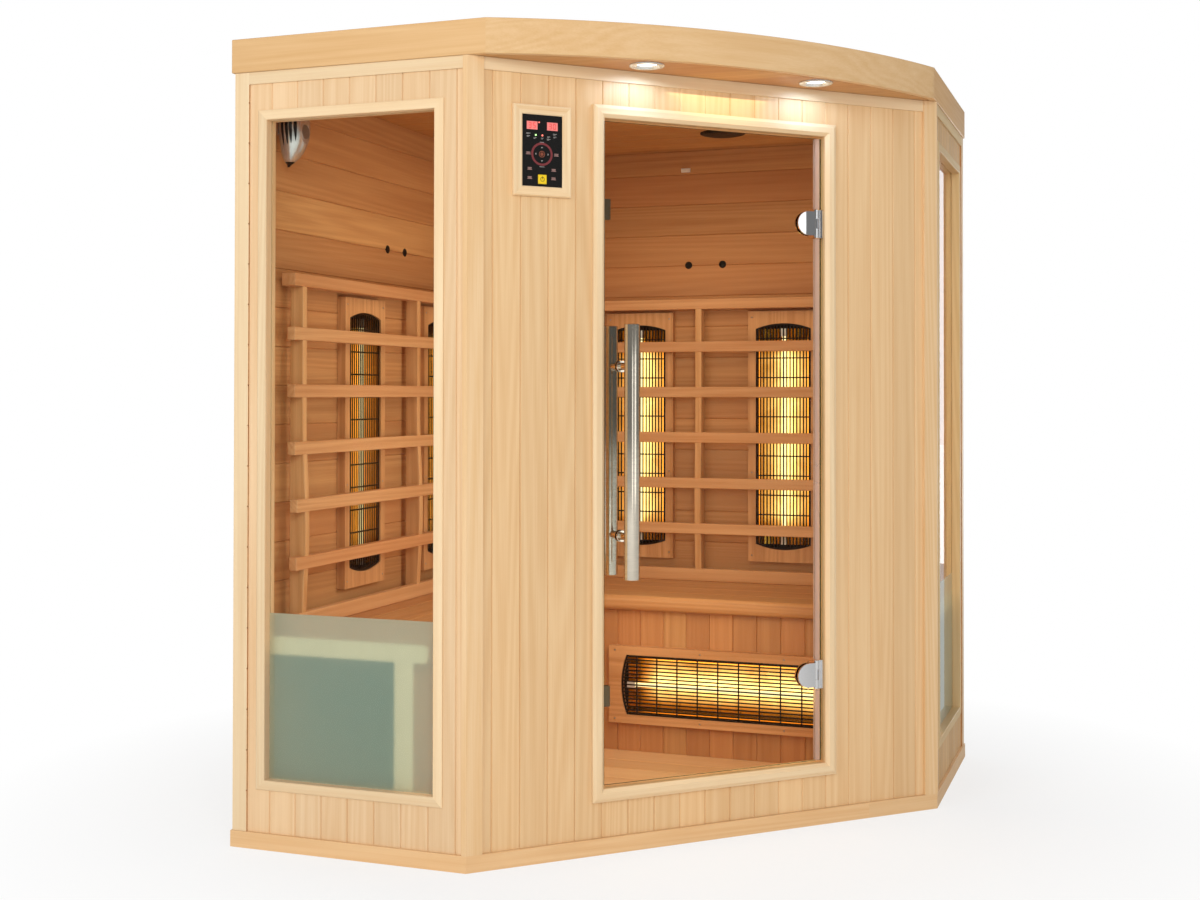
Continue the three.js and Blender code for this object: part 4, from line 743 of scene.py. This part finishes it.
def ioniser():
    """Silver pod whose tip leans back to the wall, with curved black slots and a round face towards the room."""
    bm = bmesh.new()
    r, l, lean, face = 0.038, 0.132, 0.016, 0.031
    shape = [(0.07, 0.0), (0.12, 0.04), (0.25, 0.07), (0.40, 0.11), (0.56, 0.175), (0.69, 0.25), (0.79, 0.33), (0.88, 0.42),
             (0.94, 0.51), (0.98, 0.61), (1.0, 0.72), (0.985, 0.80), (0.95, 0.87), (0.89, 0.93), (0.81, 0.97), (0.62, 1.0)]

    def radius(height):
        for (a, b), (c, d) in zip(shape, shape[1:]):
            if b <= height <= d:
                return r * (a + (c - a) * (height - b) / (d - b))
        return r * shape[-1][0]

    def skin(angle, height, lift=0.0):
        reach = radius(height) + lift
        x = reach * math.cos(angle) - lean * max(0.0, 1 - height / 0.6) ** 2
        return Vector((min(x, face), reach * math.sin(angle), height * l))

    heights = [k / 60 for k in range(61)]
    rings = [[Vector((-lean, 0, -0.0002))]]
    rings += [[skin(2 * math.pi * k / 96, height) for k in range(96)] for height in heights]
    rings.append([Vector((0, 0, l))])
    tip = sum(height < 0.085 for height in heights)
    add_rings(bm, rings, index=[1] * tip + [0] * (62 - tip))
    for side in (-1, 1):
        for start, low in ((110, 0.34), (91, 0.37), (75.6, 0.39), (57.8, 0.43)):
            rows = []
            for k in range(15):
                share = k / 14
                height = low + (0.90 - low) * share
                bend = 6.0 * (1 - share) ** 2 + 2.5 * share ** 4
                half = 6.2 * min(1.0, share / 0.5) ** 0.6 * (1 - 0.9 * share ** 12)
                angles = [side * math.radians(start - bend + turn) for turn in (-half, 0, half)]
                rows.append([skin(a, height, 0.0004) for a in angles] + [skin(a, height, -0.001) for a in reversed(angles)])
            ends = [[sum(row, Vector()) / 6] for row in (rows[0], rows[-1])]
            add_rings(bm, [ends[0]] + rows + [ends[1]], index=1)
    disc_place = Matrix.Translation((face, 0, 0.083)) @ Matrix.Rotation(math.pi / 2, 4, "Y")
    profile = [(0, -0.0006), (0.0205, -0.0006), (0.0205, 0.0004), (0.0196, 0.0010), (0.0185, 0.0010), (0.0176, 0.0003), (0, 0.0003)]
    add_lathe(bm, profile, 56, disc_place, index=[0, 0, 0, 0, 0, 2])
    add_box(bm, (0.0003 - 0.049, -r / 2, l * 0.6), (-r * 0.9, r / 2, l * 0.95))
    return piece("air_ioniser_pod", bm, [silver, black_rubber, ioniser_face], place=Matrix.Translation((-0.666, -0.635, 1.612)),
                 replaces=["air_ioniser"], sharp=35)


def plugs():
    """Black plugs in the lining boards of the two back walls."""
    bm = bmesh.new()
    places = [Matrix.Translation((x, INNER, 1.465)) @ Matrix.Rotation(math.pi / 2, 4, "X") for x in (-0.076, 0.033)]
    places += [Matrix.Translation((-INNER, y, 1.465)) @ Matrix.Rotation(math.pi / 2, 4, "Y") for y in (-0.062, 0.041)]
    for place in places:
        add_lathe(bm, [(0, -0.001), (0.0115, -0.001), (0.0115, 0.0006), (0.0106, 0.0014), (0.0063, 0.0018), (0, 0.0019)], 28, place)
    return piece("wall_plugs", bm, [black_rubber], sharp=40)


def gland_ring():
    """Rubber ring round the cable gland on the roof."""
    bm = bmesh.new()
    profile = ((0.0124, 1.8860), (0.0180, 1.8860), (0.0180, 1.8875), (0.0165, 1.8890), (0.0124, 1.8890))
    rings = [[(-0.26 + r * math.cos(2 * math.pi * k / 40), 0.26 + r * math.sin(2 * math.pi * k / 40), z) for k in range(40)]
             for r, z in profile]
    add_rings(bm, rings, closed=True)
    return piece("gland_ring", bm, [black_rubber], sharp=40)


for side in DOWNLIGHTS:
    downlight(side)
    speaker(side)
ioniser()
plugs()
gland_ring()

# Webs that join the two knuckles of each jamb plate, hollowed for the clamp's knuckle between them

HINGE_AXIS = (0.286, 0.010)
KNUCKLE_ROOM = 0.0069
WEB_HALF = 0.00325
WEB_HIGH = 0.0124


def hinge_web(level):
    plate = "hinge_jamb_plate_" + level
    low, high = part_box(plate)
    middle = (low.z + high.z) / 2
    leaf = max(corner.co.x + corner.co.y for corner in nodes[plate].data.vertices) * math.sqrt(0.5) - 0.003
    half = math.asin(WEB_HALF / KNUCKLE_ROOM)
    turns = [half * (k / 4 - 1) for k in range(9)]
    outline = [(HINGE_AXIS[0] + KNUCKLE_ROOM * math.cos(a), HINGE_AXIS[1] + KNUCKLE_ROOM * math.sin(a)) for a in turns]
    outline += [(leaf, HINGE_AXIS[1] + WEB_HALF), (leaf, HINGE_AXIS[1] - WEB_HALF)]
    bm = bmesh.new()
    add_rings(bm, [[(x, y, middle + z) for x, y in outline] for z in (-WEB_HIGH, WEB_HIGH)])
    for z in (-WEB_HIGH, WEB_HIGH):
        bm.faces.new([vert for vert in bm.verts if abs(vert.co.z - middle - z) < 1e-6])
    return piece("hinge_web_" + level, bm, [chrome], place=FRONT, sharp=30)


for level in ("upper", "lower"):
    hinge_web(level)

# Seal on the door's hinge edge


def door_seal():
    bm = bmesh.new()
    fold = [(0.2925, 0.0047), (0.2992, 0.0047), (0.3026, 0.0034), (0.3032, 0.0042), (0.3000, 0.0066), (0.3000, 0.0153),
            (0.2925, 0.0153), (0.2925, 0.0143), (0.2985, 0.0143), (0.2985, 0.0057), (0.2925, 0.0057)]
    for low, high in ((0.157, 0.331), (0.405, 1.451), (1.525, 1.699)):
        rows = [[bm.verts.new((x, y, z)) for x, y in fold] for z in (low, high)]
        bm.faces.new(rows[0])
        bm.faces.new(list(reversed(rows[1])))
        for k in range(len(fold)):
            n = (k + 1) % len(fold)
            bm.faces.new([rows[0][k], rows[1][k], rows[1][n], rows[0][n]])
        for face in (0.0046, 0.0143):
            add_box(bm, (0.2800, face, low), (0.2924, face + 0.0011, high), 1)
    return piece("door_seal", bm, [clear_glass, seal_gel], body="door", place=FRONT)


door_seal()

# Control panel: displays, diodes, the ring of arrows and small printed marks

PANEL_PLACE = FRONT @ Matrix.Translation((-0.4615, 0, 1.617))
FACE = -0.0070
DISPLAY_UP = 0.057
SEGMENTS = {"0": "abcdef", "2": "abged", "3": "abgcd", "5": "afgcd"}


def flat_box(bm, x, z, width, height, index=0, level=FACE, thick=0.00012):
    add_box(bm, (x - width / 2, level - thick, z - height / 2), (x + width / 2, level + 0.00005, z + height / 2), index)


def add_digit(bm, x, z, digit, level):
    """A seven-segment digit."""
    w, h, t = 0.0052, 0.0058, 0.0013
    places = {"a": (0, h, w, t), "b": (w / 2, h / 2, t, h - t), "c": (w / 2, -h / 2, t, h - t), "d": (0, -h, w, t),
              "e": (-w / 2, -h / 2, t, h - t), "f": (-w / 2, h / 2, t, h - t), "g": (0, 0, w, t)}
    for letter in SEGMENTS[digit]:
        dx, dz, width, height = places[letter]
        flat_box(bm, x + dx, z + dz, width, height, 1, level)


def disc(bm, x, z, radius, index, level=FACE, steps=24, rise=0.0004):
    place = Matrix.Translation((x, level, z)) @ Matrix.Rotation(math.pi / 2, 4, "X")
    add_lathe(bm, [(0, -0.00005), (radius, -0.00005), (radius, rise * 0.5), (radius * 0.7, rise * 0.9), (0, rise)], steps, place, index)


def ring(bm, x, z, outer, inner, index, level=FACE, thick=0.00012):
    rings = []
    for radius, y in ((outer, level + 0.00005), (outer, level - thick), (inner, level - thick), (inner, level + 0.00005)):
        rings.append([(x + radius * math.cos(k * math.pi / 32), y, z + radius * math.sin(k * math.pi / 32)) for k in range(64)])
    add_rings(bm, rings, index, closed=True)


def displays():
    bm = bmesh.new()
    for x, text in ((-0.025, "35"), (0.025, "30")):
        flat_box(bm, x, DISPLAY_UP, 0.0264, 0.0184, 0, -0.0062, 0.0003)
        for k, digit in enumerate(text):
            add_digit(bm, x + (k - 0.5) * 0.0105, DISPLAY_UP, digit, -0.0065)
    disc(bm, -0.008, DISPLAY_UP + 0.0075, 0.0017, 2)
    disc(bm, 0.0, 0.0353, 0.0021, 2)
    disc(bm, -0.0162, 0.0353, 0.0021, 3)
    return piece("control_displays", bm, [red_panel, red_digit, red_dot, green_dot], place=PANEL_PLACE, sharp=30)


def legends():
    bm = bmesh.new()
    ring(bm, -0.001, -0.0076, 0.0265, 0.0215, 2)
    ring(bm, -0.001, -0.0076, 0.0075, 0.0058, 3)
    disc(bm, -0.001, -0.0076, 0.0040, 3, rise=0.00015)
    for turn in range(4):
        angle = turn * math.pi / 2
        points = [(0.0170, 0.0), (0.0140, 0.0027), (0.0140, -0.0027)]
        turned = [(a * math.cos(angle) - b * math.sin(angle) - 0.001, a * math.sin(angle) + b * math.cos(angle) - 0.0076) for a, b in points]
        add_prism(bm, turned, (FACE - 0.00012, FACE + 0.00005), index=0)
    for x, z, length in ((-0.0345, 0.0385, 0.010), (-0.0345, 0.0325, 0.008), (0.0155, 0.0330, 0.007), (0.0155, 0.0275, 0.009),
                         (0.0311, 0.0400, 0.009), (0.0311, 0.0335, 0.007), (-0.0180, 0.0290, 0.007), (0.0, 0.0290, 0.006)):
        flat_box(bm, x, z, length, 0.0012, 0)
        flat_box(bm, x - 0.0015, z - 0.0021, length * 0.6, 0.0010, 0)
    for x, z in ((-0.0345, -0.0070), (0.0346, -0.0075), (-0.0310, -0.0418), (0.0282, -0.0427), (-0.0310, -0.0627), (0.0278, -0.0622)):
        for row, length in enumerate((0.0105, 0.0085, 0.0115)):
            flat_box(bm, x, z + 0.0022 - 0.0022 * row, length, 0.0011, 1)
    for z, length in ((0.0195, 0.010), (-0.0365, 0.012)):
        flat_box(bm, -0.001, z, length, 0.0012, 0)
    return piece("control_legends", bm, [print_grey, print_rose, print_red, print_brown], place=PANEL_PLACE, sharp=30)


def key_mark():
    low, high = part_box("power_key")
    middle = FRONT.inverted() @ ((low + high) / 2)
    bm = bmesh.new()
    ring(bm, 0, 0, 0.0052, 0.0040, 0, -0.0082)
    flat_box(bm, 0, 0.0034, 0.0013, 0.0064, 0, -0.00832)
    return piece("power_key_mark", bm, [print_black], body="power_key", place=FRONT @ Matrix.Translation((middle.x, 0, middle.z)))


displays()
legends()
key_mark()

# Stage, lamps and camera

scene = bpy.context.scene
scene.view_settings.view_transform = "Standard"


def floor_material():
    g = Graph("studio_floor")
    grain = g.noise(g.coords(), 40.0, 2.0)
    g.set(Base_Color=g.mix(grain, srgb("f2f2f1"), srgb("f5f5f4")), Roughness=0.9)
    glow = g.add("ShaderNodeEmission", {"Color": srgb("ffffff"), "Strength": 1.0})
    rays = g.add("ShaderNodeLightPath").outputs
    straight = g.math("LESS_THAN", rays["Glossy Depth"], 0.5)
    seen = g.math("MAXIMUM", rays["Is Camera Ray"], g.math("MULTIPLY", rays["Is Transmission Ray"], straight))
    away = g.add("ShaderNodeVectorMath", {0: g.coords()}, operation="LENGTH").outputs["Value"]
    share = g.span(away, 0.9, 1.8, 0.70, 1.0)
    mixed = g.add("ShaderNodeMixShader", {0: g.math("MULTIPLY", seen, share), 1: g.shader.outputs[0], 2: glow.outputs[0]})
    g.links.new(mixed.outputs[0], g.output.inputs[0])
    return g.material


bm = bmesh.new()
add_rings(bm, [[(30 * math.cos(k * math.pi / 32), 30 * math.sin(k * math.pi / 32), z) for k in range(64)] for z in (-0.02, 0.0)])
for face_z in (-0.02, 0.0):
    bm.faces.new([v for v in bm.verts if abs(v.co.z - face_z) < 1e-6])
floor_mesh = bpy.data.meshes.new("studio_floor")
bmesh.ops.recalc_face_normals(bm, faces=bm.faces)
bm.to_mesh(floor_mesh)
bm.free()
floor_mesh.materials.append(floor_material())
studio_floor = bpy.data.objects.new("studio_floor", floor_mesh)
scene.collection.objects.link(studio_floor)

world = bpy.data.worlds.new("studio_world")
scene.world = world
world.use_nodes = True
tree = world.node_tree
tree.nodes.clear()
out = tree.nodes.new("ShaderNodeOutputWorld")
path = tree.nodes.new("ShaderNodeLightPath")


def sky(strength):
    """One white background of a given strength."""
    node = tree.nodes.new("ShaderNodeBackground")
    node.inputs[0].default_value = (1, 1, 1, 1)
    node.inputs[1].default_value = strength
    return node.outputs[0]


def swapped(base, other, kind):
    """The base background, with another one for one kind of ray."""
    node = tree.nodes.new("ShaderNodeMixShader")
    tree.links.new(path.outputs[kind], node.inputs[0])
    tree.links.new(base, node.inputs[1])
    tree.links.new(other, node.inputs[2])
    return node.outputs[0]


white_sky = sky(1.0)
studio = swapped(sky(0.60), sky(0.22), "Is Glossy Ray")
passing = swapped(white_sky, sky(0.10), "Glossy Depth")
studio = swapped(studio, passing, "Is Transmission Ray")
tree.links.new(swapped(studio, white_sky, "Is Camera Ray"), out.inputs[0])


def lamp(name, kind, energy, place, colour=(1, 1, 1), aim=None, body=None, hidden=True, **settings):
    data = bpy.data.lights.new(name, kind)
    data.energy = energy
    data.color = colour
    for key, value in settings.items():
        setattr(data, key, value)
    thing = bpy.data.objects.new(name, data)
    scene.collection.objects.link(thing)
    thing.location = place
    if aim is not None:
        thing.rotation_euler = (Vector(aim) - Vector(place)).to_track_quat("-Z", "Y").to_euler()
    if hidden:
        thing.visible_camera = False
        thing.visible_glossy = False
        thing.visible_transmission = False
    bpy.context.view_layer.update()
    if body:
        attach(thing, body)
    return thing


lamp("soft_key", "AREA", 67, (1.9, -4.3, 2.4), aim=(0, 0, 0.9), size=1.9)
lamp("soft_side", "AREA", 36, (-1.4, -4.4, 2.0), aim=(-0.2, -0.4, 0.9), size=2.4)
lamp("cabin_glow", "AREA", 4.0, (0.05, -0.05, 1.78), (1.0, 0.80, 0.56), aim=(0.05, -0.05, 0), body="cabin", size=0.7)
lamp("cabin_fill", "POINT", 4.8, (0.10, -0.15, 0.62), (1.0, 0.64, 0.32), body="cabin", shadow_soft_size=0.25)
for side, across in DOWNLIGHTS.items():
    place = FRONT @ Vector((across, -DOWNLIGHT_OUT, SOFFIT - 0.006))
    lamp("downlight_beam_" + side, "SPOT", 1.0, place, (0.42, 0.64, 1.0), aim=place - Vector((0, 0, 1)), body="cabin",
         spot_size=math.radians(176), spot_blend=0.3, shadow_soft_size=0.025)

inside = bpy.data.collections.new("inside")
for name in ("back_wall_left", "bench_seat_left", "bench_seat_right", "bench_front_left", "bench_front_right", "floor_base"):
    inside.objects.link(nodes[name])
for heater in HEATERS:
    if "right" not in heater:
        inside.objects.link(nodes[heater + "_frame"])
inside.objects.link(bpy.data.objects["backrest_boards_left"])
door_light = lamp("door_light", "AREA", 3.2, (0.22, -0.22, 1.0), (0.86, 0.94, 1.0), aim=(-0.70, 0.0, 0.95), body="cabin",
                  size=0.45)
door_light.light_linking.receiver_collection = inside
metals = bpy.data.collections.new("metals")
for name in ("hinge_clamp_upper", "hinge_clamp_lower", "hinge_jamb_plate_upper", "hinge_jamb_plate_lower"):
    metals.objects.link(nodes[name])
for name in ("handle_bar_outer", "handle_bar_inner", "air_ioniser_pod", "hinge_web_upper", "hinge_web_lower"):
    metals.objects.link(bpy.data.objects[name])


def softbox(name, energy, place, aim, width, height, only=None):
    """A bright panel that is seen only as a reflection."""
    thing = lamp(name, "AREA", energy, place, aim=aim, hidden=False, shape="RECTANGLE", size=width, size_y=height)
    thing.visible_camera = False
    thing.visible_diffuse = False
    thing.visible_transmission = False
    if only:
        thing.light_linking.receiver_collection = only


DOOR_MIDDLE = Vector((0.30, -0.30, 1.0))
for name, angle, width in (("strip_near", -64, 1.3), ("strip_side", -22, 2.1)):
    away = Vector((math.cos(math.radians(angle)), math.sin(math.radians(angle)), 0)) * 4.6
    softbox(name, 10 * width, DOOR_MIDDLE + away, DOOR_MIDDLE, width, 2.6, metals)
softbox("backdrop", 60, (1.4, 6.0, 1.0), (1.4, 0, 1.0), 3.0, 3.0)
panes = bpy.data.collections.new("panes")
panes.objects.link(nodes["window_glass_right"])
softbox("backdrop_pane", 90, (1.4, 6.0, 1.0), (1.4, 0, 1.0), 3.0, 3.0, panes)

camera_data = bpy.data.cameras.new("camera")
camera_data.lens = 46.09
camera_data.sensor_width = 36
camera_data.shift_y = -0.0614
camera = bpy.data.objects.new("camera", camera_data)
scene.collection.objects.link(camera)
camera.location = (1.293, -3.8704, 1.0615)
camera.rotation_euler = [math.radians(angle) for angle in (90.692, -0.068, 19.918)]
scene.camera = camera
